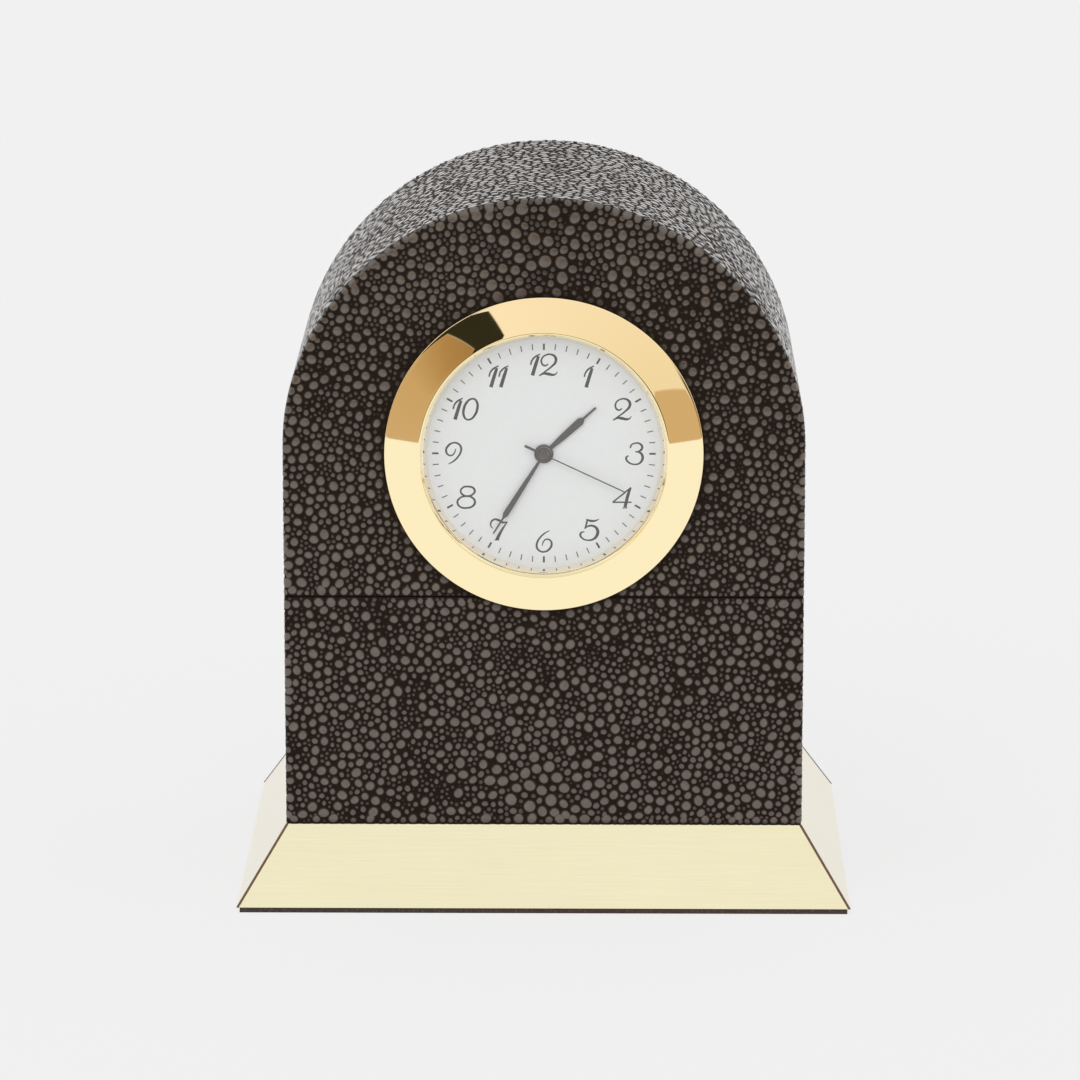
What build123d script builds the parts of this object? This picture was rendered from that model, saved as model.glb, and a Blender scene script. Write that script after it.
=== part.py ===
from build123d import *
import math
import os

# Beehive shelf clock: an arched wooden block covered with pebbled skin on a brass plinth,
# with a round quartz clock insert held by friction in a blind bore.
# All lengths are millimetres. +Z is up, the dial faces -Y, and the origin is the middle of the foot.
# Depths of the insert's pieces are counted from the case's front face towards the back.

# Case
case_width = 81.7
case_depth = 60.5
case_height = 113.0
shoulder_offset = 4.35
crown_lift = 2.8
skin_thickness = 0.8
skin_edge_radius = 0.65
seam_below_dial = 23.0
seam_gap = 0.15

# Plinth
plinth_height = 12.6
plinth_overhang = 7.65
pad_thickness = 0.9
pad_inset = 0.45
plate_thickness = 1.0
mitre_gap = 0.35
case_screw_radius = 2.0
case_screw_head_radius = 3.6
case_screw_head_height = 2.4
case_screw_length = 24.0
case_screw_spacing = 44.0

# Bore for the insert
dial_below_crown = 40.3
bore_fit_gap = 0.18
bore_end_room = 3.18
skin_hole_margin = 0.6

# Bezel, lens and reflector ring
bezel_flange_overlap = 2.0
bezel_seat_gap = 0.1
bezel_edge_height = 0.74
bezel_crest_height = 1.92
bezel_edge_radius = 0.25
bezel_lens_overlap = 0.38
bezel_step_height = 0.2
bezel_lip_width = 0.56
bezel_lip_thickness = 0.3
bezel_skirt_wall = 0.85
bezel_skirt_depth = 2.0
lens_thickness = 0.5
reflector_front_width = 1.4
reflector_back_width = 1.95
reflector_front_land = 0.1

# Dial
dial_room = 1.25
dial_thickness = 0.4
dial_hole_gap = 0.25

# Insert case and grip ring
insert_wall = 1.01
grip_base_height = 0.4
grip_lip_height = 0.9
grip_lip_width = 0.7
grip_ring_depth = 2.8
grip_ring_length = 5.4
grip_lip_count = 3
cover_thickness = 1.0
cover_spigot_wall = 0.7
cover_spigot_length = 1.5
cover_edge_chamfer = 0.4

# Clearances
seat_gap = 0.02
running_gap = 0.06
part_gap = 0.15

# Movement frame
works_room = 2.0
main_plate_thickness = 1.0
plate_rim_width = 1.0
case_ledge_width = 0.8
case_ledge_thickness = 1.0
train_room = 3.8
bridge_thickness = 0.7
bridge_bar_width = 2.6
bridge_disc_radius = 1.6
pillar_radius = 1.0
movement_screw_radius = 0.5
movement_screw_head_radius = 0.95
movement_screw_head_height = 0.5
slot_width_share = 0.3
slot_depth_share = 0.5

# Gear teeth and wheels
cannon_teeth = 10
minute_works_teeth = 30
minute_works_pinion_teeth = 10
hour_teeth = 40
knob_pinion_teeth = 10
setting_module = 0.25
hour_module = 0.2
second_pinion_teeth = 8
third_teeth = 60
third_pinion_teeth = 8
centre_teeth = 64
centre_module = 0.2
second_teeth = 40
intermediate_pinion_teeth = 8
second_module = 0.3
intermediate_teeth = 36
rotor_pinion_teeth = 6
rotor_module = 0.2
wheel_thickness = 0.4
pinion_length = 0.7
thin_wheel_thickness = 0.3
works_wheel_room = 0.3
train_wheel_room = 0.3

# Tooth outlines: height from the pitch circle in modules, half width as a share of the tooth's half width
wheel_tooth_shares = ((-1.0, 1.05), (-0.2, 1.02), (0.0, 1.0), (0.45, 0.75), (0.9, 0.3))
pinion_tooth_shares = ((-1.3, 1.05), (-0.2, 1.02), (0.0, 1.0), (0.325, 0.85), (0.65, 0.4))
wheel_tooth_width_share = 0.42
pinion_tooth_width_share = 0.36

# Arbors and pipes on the dial's axis
second_arbor_radius = 0.34
cannon_pipe_wall = 0.3
hour_pipe_wall = 0.39
arbor_radius = 0.3
works_stud_radius = 0.4
knob_arbor_radius = 0.6

# Places of the wheels, seen from the front: degrees anticlockwise from three o'clock
third_angle = 150.0
works_angle = 60.0
intermediate_angle = -35.0
rotor_turn_angle = -20.0

# Hands
hour_of_day = 1
minute_of_hour = 35
second_of_minute = 19.2
hand_thickness = 0.12
hour_hand_height = 0.25
hand_gap = 0.18
second_cap_height = 0.22
second_cap_wall = 0.24
hour_boss_width = 0.35
minute_boss_width = 0.45
hour_hand_length = 11.0
hour_blade_width = 1.2
minute_hand_length = 15.0
minute_blade_width = 0.9
second_hand_length = 14.1
second_hand_width = 0.18
second_tail_length = 3.3
second_tail_width = 0.4
# Blade outline: place along the hand and width, as shares of its length and of its widest width
hour_blade_shares = ((0.1, 0.5), (0.36, 0.82), (0.7, 1.0), (0.735, 0.72), (0.765, 0.3), (1.0, 0.24))
minute_blade_shares = ((0.06, 0.45), (0.4, 0.8), (0.755, 1.0), (0.785, 0.6), (0.805, 0.33), (1.0, 0.25))

# Motor, circuit and battery
rotor_magnet_radius = 1.3
rotor_magnet_length = 1.2
stator_air_gap = 0.45
stator_ring_width = 0.85
stator_arm_width = 1.8
stator_thickness = 0.7
coil_radius = 1.7
coil_flange_radius = 1.9
coil_flange_thickness = 0.4
coil_end_gap = 0.5
coil_core_width = 1.0
coil_drop = 14.0
stator_elbow_drop = 11.4
stator_left = 0.6
stator_right = 11.4
board_edge_margin = 0.4
board_width = 6.4
board_thickness = 0.8
board_start_angle = -30.0
board_end_angle = 150.0
chip_radius = 2.0
chip_height = 1.1
chip_angle = 75.0
crystal_radius = 1.0
crystal_length = 6.0
crystal_angle = 110.0
crystal_end_radius = 0.25
battery_radius = 5.8
battery_length = 5.4
battery_rim = 0.5
battery_step = 0.6
battery_angle = 223.8
battery_gap = 0.32
battery_edge_margin = 0.3
battery_wall = 0.45
battery_wall_height = 3.0
battery_wall_opening_degrees = 140.0
contact_thickness = 0.2
contact_width = 1.2
contact_tab_height = 4.0
contact_plus_margin = 0.8
contact_minus_margin = 2.8

# Bridge pillars, seen from the front: right of the centre and above it, as shares of the dial's radius
pillar_place_shares = ((-0.075, 0.52), (0.45, 0.125), (-0.08, -0.43))

# Setting knob and battery cap
knob_radius = 4.0
knob_length = 2.5
knob_groove_radius = 0.35
knob_groove_count = 24
knob_chamfer = 0.3
cap_flange_width = 1.0
cap_thickness = 1.0
cap_plug_margin = 0.4
cap_lug_reach = 0.8
cap_lug_thickness = 0.6
cap_lug_degrees = 32.0
cap_notch_margin_degrees = 5.0
cap_turn_degrees = 60.0
cap_slot_width = 1.4
cap_slot_share = 0.75
cap_slot_depth = 0.6
cap_chamfer = 0.3

# One overrun for every cut
overrun = 1.0

# Derived places and radii of the wheels
train_distance = centre_module * (centre_teeth + third_pinion_teeth) / 2
third_module = 2 * train_distance / (third_teeth + second_pinion_teeth)
works_distance = setting_module * (minute_works_teeth + cannon_teeth) / 2
intermediate_distance = second_module * (second_teeth + intermediate_pinion_teeth) / 2
rotor_distance = rotor_module * (intermediate_teeth + rotor_pinion_teeth) / 2
centre_tip_radius = centre_module * (centre_teeth / 2 + wheel_tooth_shares[-1][0])

# Derived pipes and bosses on the dial's axis, from the middle outwards
cannon_bore_radius = second_arbor_radius + running_gap
cannon_pipe_radius = cannon_bore_radius + cannon_pipe_wall
hour_bore_radius = cannon_pipe_radius + running_gap
hour_pipe_radius = hour_bore_radius + hour_pipe_wall
dial_hole_radius = hour_pipe_radius + dial_hole_gap
hour_boss_radius = hour_pipe_radius + hour_boss_width
minute_boss_radius = cannon_pipe_radius + minute_boss_width
second_cap_radius = second_arbor_radius + second_cap_wall
minute_hand_height = hour_hand_height + hand_thickness + hand_gap
second_hand_height = minute_hand_height + hand_thickness + hand_gap

# Derived radii of the insert, from the battery outwards to the bezel
battery_distance = centre_tip_radius + battery_gap + battery_wall + part_gap + battery_radius
dial_radius = battery_distance + battery_radius + part_gap + battery_wall + battery_edge_margin
lens_radius = dial_radius
bezel_opening_radius = lens_radius - bezel_lens_overlap
reflector_front_radius = lens_radius - reflector_front_width
reflector_back_radius = lens_radius - reflector_back_width
bezel_bore_radius = lens_radius + seat_gap
skirt_radius = bezel_bore_radius + bezel_skirt_wall
insert_bore_radius = skirt_radius + seat_gap
insert_radius = insert_bore_radius + insert_wall
bore_radius = insert_radius + seat_gap + grip_lip_height + bore_fit_gap
bezel_radius = bore_radius + bezel_flange_overlap
board_outer_radius = dial_radius - board_edge_margin
board_inner_radius = board_outer_radius - board_width
contact_plus_radius = dial_radius - contact_plus_margin
contact_minus_radius = dial_radius - contact_minus_margin
cap_plug_radius = battery_radius + cap_plug_margin
cap_radius = cap_plug_radius + cap_flange_width
coil_left = stator_left + stator_arm_width / 2 + coil_end_gap
coil_length = stator_right - stator_arm_width / 2 - coil_end_gap - coil_left

# Derived sizes of the case
dial_height = case_height - dial_below_crown
seam_height = dial_height - seam_below_dial
shoulder_radius = case_width / 2 - shoulder_offset
arch_rise = shoulder_radius + crown_lift
spring_height = case_height - arch_rise
crown_radius = shoulder_radius + crown_lift / 2 + shoulder_offset**2 / (2 * crown_lift)
crown_centre_height = case_height - crown_radius
front_y = -case_depth / 2
foot_width = case_width + 2 * plinth_overhang
foot_depth = case_depth + 2 * plinth_overhang

# Derived depths of the insert
bezel_lip_back = -(bezel_crest_height - bezel_step_height - bezel_lip_thickness)
lens_back = bezel_lip_back + lens_thickness
dial_depth = lens_back + dial_room
dial_back = dial_depth + dial_thickness
main_plate_front = dial_back + works_room
main_plate_back = main_plate_front + main_plate_thickness
bridge_front = main_plate_back + train_room
bridge_back = bridge_front + bridge_thickness
battery_front = main_plate_back + contact_thickness + seat_gap
battery_back = battery_front + battery_length
cover_front = battery_back + 2 * part_gap
cover_back = cover_front + cover_thickness
knob_front = cover_back + 2 * part_gap
knob_back = knob_front + knob_length
bore_depth = knob_back + bore_end_room

# Derived levels of the wheels: each wheel is centred in the length of the pinion that drives it
hour_wheel_front = dial_back + works_wheel_room
works_pinion_front = hour_wheel_front - (pinion_length - wheel_thickness) / 2
works_wheel_front = works_pinion_front + pinion_length + seat_gap
cannon_teeth_front = works_wheel_front - (pinion_length - wheel_thickness) / 2
centre_wheel_front = main_plate_back + train_wheel_room
third_pinion_front = centre_wheel_front - (pinion_length - wheel_thickness) / 2
second_pinion_front = third_pinion_front + pinion_length + train_wheel_room
third_wheel_front = second_pinion_front + (pinion_length - wheel_thickness) / 2
intermediate_pinion_front = second_pinion_front + pinion_length + part_gap
second_wheel_front = intermediate_pinion_front + (pinion_length - wheel_thickness) / 2
intermediate_wheel_front = intermediate_pinion_front + pinion_length + train_wheel_room
rotor_pinion_front = intermediate_wheel_front - part_gap
train_pivot_front = main_plate_front + part_gap
train_pivot_back = bridge_back - part_gap


def polar(distance, degrees):
    """A place seen from the front, as right of the centre and above it."""
    return (distance * math.cos(math.radians(degrees)), distance * math.sin(math.radians(degrees)))


dial_centre = (0.0, 0.0)
third_place = polar(train_distance, third_angle)
works_place = polar(works_distance, works_angle)
knob_place = polar(2 * works_distance, works_angle)
intermediate_place = polar(intermediate_distance, intermediate_angle)
rotor_step = polar(rotor_distance, rotor_turn_angle)
rotor_place = (intermediate_place[0] + rotor_step[0], intermediate_place[1] + rotor_step[1])
battery_place = polar(battery_distance, battery_angle)
pillar_places = [(right * dial_radius, up * dial_radius) for right, up in pillar_place_shares]

# The insert's own frame: its Z runs into the case from the front face, and its Y points down
insert_frame = Plane(origin=(0, front_y, dial_height), x_dir=(1, 0, 0), z_dir=(0, 1, 0)).location


def spot(place, depth=0.0):
    """Location in the insert's frame of a place seen from the front."""
    return Pos(place[0], -place[1], depth)


def disc(radius, start, end):
    """Solid cylinder on the insert's axis between two depths."""
    return Pos(0, 0, (start + end) / 2) * Cylinder(radius, end - start)


def ring(outer, inner, start, end):
    """Tube on the insert's axis between two depths."""
    return disc(outer, start, end) - disc(inner, start - overrun, end + overrun)


def sector(outer, inner, start, end, first, last):
    """Part of a ring between two angles seen from the front."""
    flat = (Align.NONE, Align.NONE, Align.CENTER)
    piece = Rot(0, 0, -last) * Cylinder(outer, end - start, arc_size=last - first, align=flat)
    piece = Pos(0, 0, (start + end) / 2) * piece
    if inner > 0:
        piece -= disc(inner, start - overrun, end + overrun)
    return piece


def turned(points):
    """Solid turned about the insert's axis from radius and depth pairs."""
    return revolve(Plane.XZ * make_face(Polyline(*points, close=True)), axis=Axis.Z)


def bar(first, last, width, start, end):
    """Flat bar with round ends between two places."""
    run = math.dist(first, last)
    angle = math.degrees(math.atan2(-(last[1] - first[1]), last[0] - first[0]))
    shape = Rot(0, 0, angle) * Pos(run / 2, 0, 0) * SlotCenterToCenter(run, width)
    return extrude(spot(first, start) * shape, end - start)


def save(name, shape):
    """Write one node."""
    export_step(shape, "parts/" + name + ".step")


def arch_face(inset):
    """Outline of the case in x and z, moved inwards all round but at the foot."""
    half = case_width / 2 - inset
    shoulder = shoulder_radius - inset
    crown = crown_radius - inset
    tilt = math.atan2(spring_height - crown_centre_height, shoulder_offset)
    bend = tilt / 2
    join = (crown * math.cos(tilt), crown_centre_height + crown * math.sin(tilt))
    middle = (shoulder_offset + shoulder * math.cos(bend), spring_height + shoulder * math.sin(bend))
    foot_line = Line((-half, plinth_height), (half, plinth_height))
    right_side = Line((half, plinth_height), (half, spring_height))
    right_shoulder = ThreePointArc((half, spring_height), middle, join)
    crown_arc = ThreePointArc(join, (0, crown_centre_height + crown), (-join[0], join[1]))
    left_shoulder = ThreePointArc((-join[0], join[1]), (-middle[0], middle[1]), (-half, spring_height))
    left_side = Line((-half, spring_height), (-half, plinth_height))
    return make_face([foot_line, right_side, right_shoulder, crown_arc, left_shoulder, left_side])


def arch_slab(inset, start, end):
    """The case's outline as a slab between two depths from the front face."""
    return extrude(Plane.XZ.offset(-(front_y + end)) * arch_face(inset), end - start)


def body_core():
    """Arched wooden block with the blind bore for the insert and two screw holes."""
    block = arch_slab(skin_thickness, skin_thickness, case_depth - skin_thickness)
    block -= insert_frame * disc(bore_radius, -overrun, bore_depth)
    for side in (-1, 1):
        hole = Cylinder(case_screw_radius + seat_gap, case_screw_length + overrun)
        reach = pad_thickness + case_screw_head_height + (case_screw_length + overrun) / 2
        block -= Pos(side * case_screw_spacing / 2, 0, reach) * hole
    return block


def face_skin():
    """Skin of the whole front face with its edge rounded, before it is cut at the seam."""
    sheet = arch_slab(0, 0, skin_thickness)
    edges = sheet.faces().sort_by(Axis.Y)[0].edges().sort_by(Axis.Z)
    return fillet(edges[1:], skin_edge_radius)


def seam_halves(sheet):
    """The part of a sheet above the seam and the part below it."""
    tall = 2 * case_height
    reach = Box(2 * case_width, 2 * case_depth, tall)
    upper = sheet & (Pos(0, 0, seam_height + seam_gap / 2 + tall / 2) * reach)
    lower = sheet & (Pos(0, 0, seam_height - seam_gap / 2 - tall / 2) * reach)
    return upper, lower


def arch_skin():
    """Skin band over the sides and the arch, between the front and back skins."""
    band = arch_slab(0, skin_thickness, case_depth - skin_thickness)
    return band - arch_slab(skin_thickness, 0, case_depth) - foot_cut()


def foot_cut():
    """Space under the case that the band leaves open between its two legs."""
    width = case_width - 2 * skin_thickness
    height = 2 * overrun
    return Pos(0, 0, plinth_height) * Box(width, 2 * case_depth, height)


def plinth_inset():
    """Thickness of a sloping plate measured level."""
    fall = plinth_height - pad_thickness
    return plate_thickness * math.hypot(fall, plinth_overhang) / fall


def plinth_core():
    """Wooden frustum under the brass plates, with the screws' counterbored holes."""
    inset = 2 * plinth_inset()
    foot = Pos(0, 0, pad_thickness) * Rectangle(foot_width - inset, foot_depth - inset)
    top = Pos(0, 0, plinth_height) * Rectangle(case_width - inset, case_depth - inset)
    core = loft([foot, top], ruled=True)
    for side in (-1, 1):
        place = Pos(side * case_screw_spacing / 2, 0, pad_thickness)
        core -= place * Cylinder(case_screw_radius + part_gap, 2 * plinth_height)
        core -= place * Cylinder(case_screw_head_radius + part_gap, 2 * (case_screw_head_height + seat_gap))
    return core


def plinth_plate(long_foot, cross_foot):
    """One sloping brass plate at the front of a foot of the given width, mitred at both ends."""
    level = plinth_inset()
    back = cross_foot / 2
    slope = Polyline(
        (-back, pad_thickness),
        (-back + plinth_overhang, plinth_height),
        (-back + plinth_overhang + level, plinth_height),
        (-back + level, pad_thickness),
        close=True,
    )
    plate = extrude(Plane.YZ.offset(-long_foot / 2) * make_face(slope), long_foot)
    reach = plinth_overhang + 2 * level
    trim = mitre_gap / math.sqrt(2)
    plan = Polyline(
        (-long_foot / 2 + trim, -back),
        (long_foot / 2 - trim, -back),
        (long_foot / 2 - trim - reach, -back + reach),
        (-long_foot / 2 + trim + reach, -back + reach),
        close=True,
    )
    return plate & extrude(make_face(plan), plinth_height + overrun)


def case_screws():
    """Two wood screws up through the plinth into the block."""
    screws = []
    for side in (-1, 1):
        place = Pos(side * case_screw_spacing / 2, 0, pad_thickness)
        head = Cylinder(case_screw_head_radius, case_screw_head_height)
        shank = Cylinder(case_screw_radius, case_screw_length)
        shank_place = case_screw_head_height + case_screw_length / 2
        screw = Pos(0, 0, case_screw_head_height / 2) * head + Pos(0, 0, shank_place) * shank
        slot_depth = 2 * slot_depth_share * case_screw_head_height
        slot = Box(3 * case_screw_head_radius, slot_width_share * case_screw_head_radius, slot_depth)
        screws.append(place * (screw - slot))
    return screws[0] + screws[1]


def bezel():
    """Polished ring: flange over the front skin, conical face, lens lip and skirt."""
    step_front = -(bezel_crest_height - bezel_step_height)
    edge_front = -(bezel_edge_height + bezel_seat_gap)
    lip_radius = bezel_opening_radius - bezel_lip_width
    return turned(
        (
            (lip_radius, bezel_lip_back),
            (lip_radius, step_front),
            (bezel_opening_radius, step_front),
            (bezel_opening_radius, -bezel_crest_height),
            (bezel_radius - bezel_edge_radius, edge_front),
            (bezel_radius, edge_front + bezel_edge_radius),
            (bezel_radius, -bezel_seat_gap),
            (skirt_radius, -bezel_seat_gap),
            (skirt_radius, bezel_skirt_depth),
            (bezel_bore_radius, bezel_skirt_depth),
            (bezel_bore_radius, bezel_lip_back),
        )
    )


def reflector_ring():
    """Gold flange that slopes from the lens down to the dial."""
    return turned(
        (
            (reflector_front_radius, lens_back),
            (lens_radius, lens_back),
            (lens_radius, dial_depth),
            (reflector_back_radius, dial_depth),
            (reflector_front_radius, lens_back + reflector_front_land),
        )
    )


def insert_case():
    """Moulded can of the insert with the ledge that carries the main plate."""
    wall = ring(insert_radius, insert_bore_radius, -bezel_seat_gap, cover_front)
    ledge_inner = insert_bore_radius - case_ledge_width
    ledge_end = main_plate_back + case_ledge_thickness
    ledge = ring(insert_radius, ledge_inner, main_plate_back, ledge_end)
    return wall + ledge


def grip_ring():
    """Rubber sleeve with lips that hold the insert in the bore."""
    inner = insert_radius + seat_gap
    end = grip_ring_depth + grip_ring_length
    sleeve = ring(inner + grip_base_height, inner, grip_ring_depth, end)
    step = (grip_ring_length - grip_lip_width) / (grip_lip_count - 1)
    for index in range(grip_lip_count):
        start = grip_ring_depth + index * step
        sleeve += ring(inner + grip_lip_height, inner, start, start + grip_lip_width)
    return sleeve


def main_plate():
    """Front plate of the movement: dial rim, minute works stud, battery wall and pivot holes."""
    plate = disc(skirt_radius, main_plate_front, main_plate_back)
    plate += ring(dial_radius, dial_radius - plate_rim_width, dial_back, main_plate_front)
    stud_front = dial_back + part_gap
    plate += spot(works_place) * disc(works_stud_radius, stud_front, main_plate_front)
    wall_inner = battery_radius + part_gap
    wall_back = main_plate_back + battery_wall_height
    wall = ring(wall_inner + battery_wall, wall_inner, main_plate_back, wall_back)
    first = battery_angle - battery_wall_opening_degrees / 2
    last = battery_angle + battery_wall_opening_degrees / 2
    opening = sector(2 * battery_radius, 0, main_plate_back, wall_back + overrun, first, last)
    plate += spot(battery_place) * (wall - opening)
    holes = [(dial_centre, cannon_pipe_radius), (knob_place, knob_arbor_radius)]
    holes += [(place, arbor_radius) for place in (third_place, intermediate_place, rotor_place)]
    for place, radius in holes:
        cut = disc(radius + running_gap, main_plate_front - overrun, main_plate_back + overrun)
        plate -= spot(place) * cut
    for place in pillar_places:
        cut = disc(movement_screw_radius + seat_gap, main_plate_front + part_gap, main_plate_back + overrun)
        plate -= spot(place) * cut
    return plate


def train_bridge():
    """Rear plate of the gear train: arms to each pivot and three pillars on the main plate."""
    places = list(pillar_places) + [third_place, intermediate_place, rotor_place]
    plate = disc(bridge_disc_radius, bridge_front, bridge_back)
    for place in places:
        plate += bar(dial_centre, place, bridge_bar_width, bridge_front, bridge_back)
        plate += spot(place) * disc(bridge_disc_radius, bridge_front, bridge_back)
    for place in pillar_places:
        plate += spot(place) * disc(pillar_radius, main_plate_back, bridge_front)
    start = main_plate_back - overrun
    end = bridge_back + overrun
    for place in pillar_places:
        plate -= spot(place) * disc(movement_screw_radius + seat_gap, start, end)
    for place in (third_place, intermediate_place, rotor_place):
        plate -= spot(place) * disc(arbor_radius + running_gap, start, end)
    return plate - disc(second_arbor_radius + running_gap, start, end)


def movement_screws():
    """Three slotted screws that hold the bridge on the main plate."""
    group = None
    for place in pillar_places:
        head_back = bridge_back + movement_screw_head_height
        screw = disc(movement_screw_head_radius, bridge_back, head_back)
        screw += disc(movement_screw_radius, main_plate_front + 2 * part_gap, bridge_back)
        slot_width = slot_width_share * movement_screw_head_radius
        slot_depth = 2 * slot_depth_share * movement_screw_head_height
        slot = Pos(0, 0, head_back) * Box(3 * movement_screw_head_radius, slot_width, slot_depth)
        screw = spot(place) * (screw - slot)
        group = screw if group is None else group + screw
    return group


def gear(teeth, module, shares, width_share, phase, start, thickness):
    """Toothed disc: its first tooth points along the phase angle, in the insert's frame."""
    pitch_radius = module * teeth / 2
    half_tooth = width_share * math.pi / teeth
    points = []
    for index in range(teeth):
        middle = phase + 2 * math.pi * index / teeth
        flank = [(pitch_radius + height * module, half_tooth * width) for height, width in shares]
        for radius, half in flank:
            points.append((radius * math.cos(middle - half), radius * math.sin(middle - half)))
        for radius, half in reversed(flank):
            points.append((radius * math.cos(middle + half), radius * math.sin(middle + half)))
    return Pos(0, 0, start) * extrude(make_face(Polyline(*points, close=True)), thickness)


def wheel(teeth, module, phase, start, thickness):
    """Driven wheel teeth."""
    return gear(teeth, module, wheel_tooth_shares, wheel_tooth_width_share, phase, start, thickness)


def pinion(teeth, module, phase, start):
    """Pinion leaves."""
    return gear(teeth, module, pinion_tooth_shares, pinion_tooth_width_share, phase, start, pinion_length)


def mesh_phase(phase, teeth, first, other_teeth, last):
    """Phase of a gear at the second place that meshes at rest with a gear at the first place."""
    line = math.atan2(-(last[1] - first[1]), last[0] - first[0])
    share = (line - phase) * teeth / (2 * math.pi)
    return line + math.pi - (0.5 - share) * 2 * math.pi / other_teeth


def hour_wheel(phase):
    """Hour wheel on its pipe, turning on the cannon pinion's pipe."""
    front = dial_depth - hour_hand_height - hand_thickness
    end = hour_wheel_front + wheel_thickness
    part = wheel(hour_teeth, hour_module, phase, hour_wheel_front, wheel_thickness)
    part += disc(hour_pipe_radius, front, end)
    return part - disc(hour_bore_radius, front - overrun, end + overrun)


def cannon_pinion():
    """Cannon pinion: leaves for the minute works, and a pipe from the minute hand to the clutch."""
    front = dial_depth - minute_hand_height - hand_thickness
    end = second_pinion_front - part_gap
    part = pinion(cannon_teeth, setting_module, 0, cannon_teeth_front)
    part += disc(cannon_pipe_radius, front, end)
    return part - disc(cannon_bore_radius, front - overrun, end + overrun)


def minute_works_wheel(wheel_phase, pinion_phase):
    """Wheel and pinion of the minute works on the main plate's stud."""
    part = wheel(minute_works_teeth, setting_module, wheel_phase, works_wheel_front, wheel_thickness)
    part += pinion(minute_works_pinion_teeth, hour_module, pinion_phase, works_pinion_front)
    part += disc(works_stud_radius + 2 * part_gap, works_pinion_front, works_wheel_front)
    bore = disc(works_stud_radius + running_gap, works_pinion_front - overrun, main_plate_front)
    return spot(works_place) * (part - bore)


def second_wheel(wheel_phase, pinion_phase):
    """Second wheel and pinion on the long arbor that carries the second hand."""
    front = dial_depth - second_hand_height - hand_thickness
    part = disc(second_arbor_radius, front, train_pivot_back)
    part += wheel(second_teeth, second_module, wheel_phase, second_wheel_front, wheel_thickness)
    return part + pinion(second_pinion_teeth, third_module, pinion_phase, second_pinion_front)


def third_wheel(wheel_phase, pinion_phase):
    """Third wheel and pinion."""
    part = disc(arbor_radius, train_pivot_front, train_pivot_back)
    part += wheel(third_teeth, third_module, wheel_phase, third_wheel_front, wheel_thickness)
    part += pinion(third_pinion_teeth, centre_module, pinion_phase, third_pinion_front)
    return spot(third_place) * part


def centre_wheel(phase):
    """Centre wheel, which turns the cannon pinion through a slipping clutch."""
    hub_front = main_plate_back + part_gap
    hub_back = centre_wheel_front + wheel_thickness + part_gap
    part = wheel(centre_teeth, centre_module, phase, centre_wheel_front, wheel_thickness)
    part += disc(2 * cannon_pipe_radius, hub_front, hub_back)
    return part - disc(cannon_pipe_radius + running_gap, hub_front - overrun, hub_back + overrun)


def intermediate_wheel(wheel_phase, pinion_phase):
    """Intermediate wheel and pinion between the rotor and the second wheel."""
    part = disc(arbor_radius, train_pivot_front, train_pivot_back)
    part += wheel(
        intermediate_teeth, rotor_module, wheel_phase, intermediate_wheel_front, thin_wheel_thickness
    )
    part += pinion(intermediate_pinion_teeth, second_module, pinion_phase, intermediate_pinion_front)
    return spot(intermediate_place) * part


def rotor_pinion(phase):
    """Rotor arbor with its pinion leaves."""
    part = disc(arbor_radius, train_pivot_front, train_pivot_back)
    part += pinion(rotor_pinion_teeth, rotor_module, phase, rotor_pinion_front)
    return spot(rotor_place) * part


def motor_level():
    """Depth of the stator plate's front face."""
    return second_pinion_front + part_gap


def rotor_magnet():
    """Round magnet on the rotor arbor."""
    middle = motor_level() + stator_thickness / 2
    start = middle - rotor_magnet_length / 2
    end = middle + rotor_magnet_length / 2
    return spot(rotor_place) * ring(rotor_magnet_radius, arbor_radius + seat_gap, start, end)


def stator():
    """Iron plate round the rotor with an arm to each end of the coil's core."""
    front = motor_level()
    end = front + stator_thickness
    hole = rotor_magnet_radius + stator_air_gap
    elbow = (stator_left, -stator_elbow_drop)
    plate = spot(rotor_place) * disc(hole + stator_ring_width, front, end)
    plate += bar(rotor_place, elbow, stator_arm_width, front, end)
    plate += bar(elbow, (stator_left, -coil_drop), stator_arm_width, front, end)
    plate += bar(rotor_place, (stator_right, -coil_drop), stator_arm_width, front, end)
    return plate - spot(rotor_place) * disc(hole, front - overrun, end + overrun)


def coil_core():
    """Iron core bar that lies on the stator's two ends."""
    front = motor_level() + stator_thickness
    run = stator_right - stator_left
    middle = ((stator_left + stator_right) / 2, -coil_drop)
    return spot(middle, front + stator_thickness / 2) * Box(run, coil_core_width, stator_thickness)


def coil():
    """Wound bobbin between two flanges round the core."""
    axis_depth = motor_level() + 1.5 * stator_thickness
    middle = (coil_left + coil_length / 2, -coil_drop)
    lying = Rot(0, 90, 0)
    part = lying * Cylinder(coil_radius, coil_length)
    for side in (-1, 1):
        shift = side * (coil_length - coil_flange_thickness) / 2
        part += Pos(shift, 0, 0) * lying * Cylinder(coil_flange_radius, coil_flange_thickness)
    room = coil_core_width + 2 * seat_gap
    part -= Box(coil_length + overrun, room, stator_thickness + 2 * seat_gap)
    return spot(middle, axis_depth) * part


def circuit_board():
    """Curved board that lies on the main plate."""
    end = main_plate_back + board_thickness
    return sector(
        board_outer_radius, board_inner_radius, main_plate_back, end, board_start_angle, board_end_angle
    )


def board_middle():
    """Radius of the middle of the board."""
    return (board_inner_radius + board_outer_radius) / 2


def chip():
    """Round sealed chip on the board."""
    front = main_plate_back + board_thickness
    return spot(polar(board_middle(), chip_angle)) * disc(chip_radius, front, front + chip_height)


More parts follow.
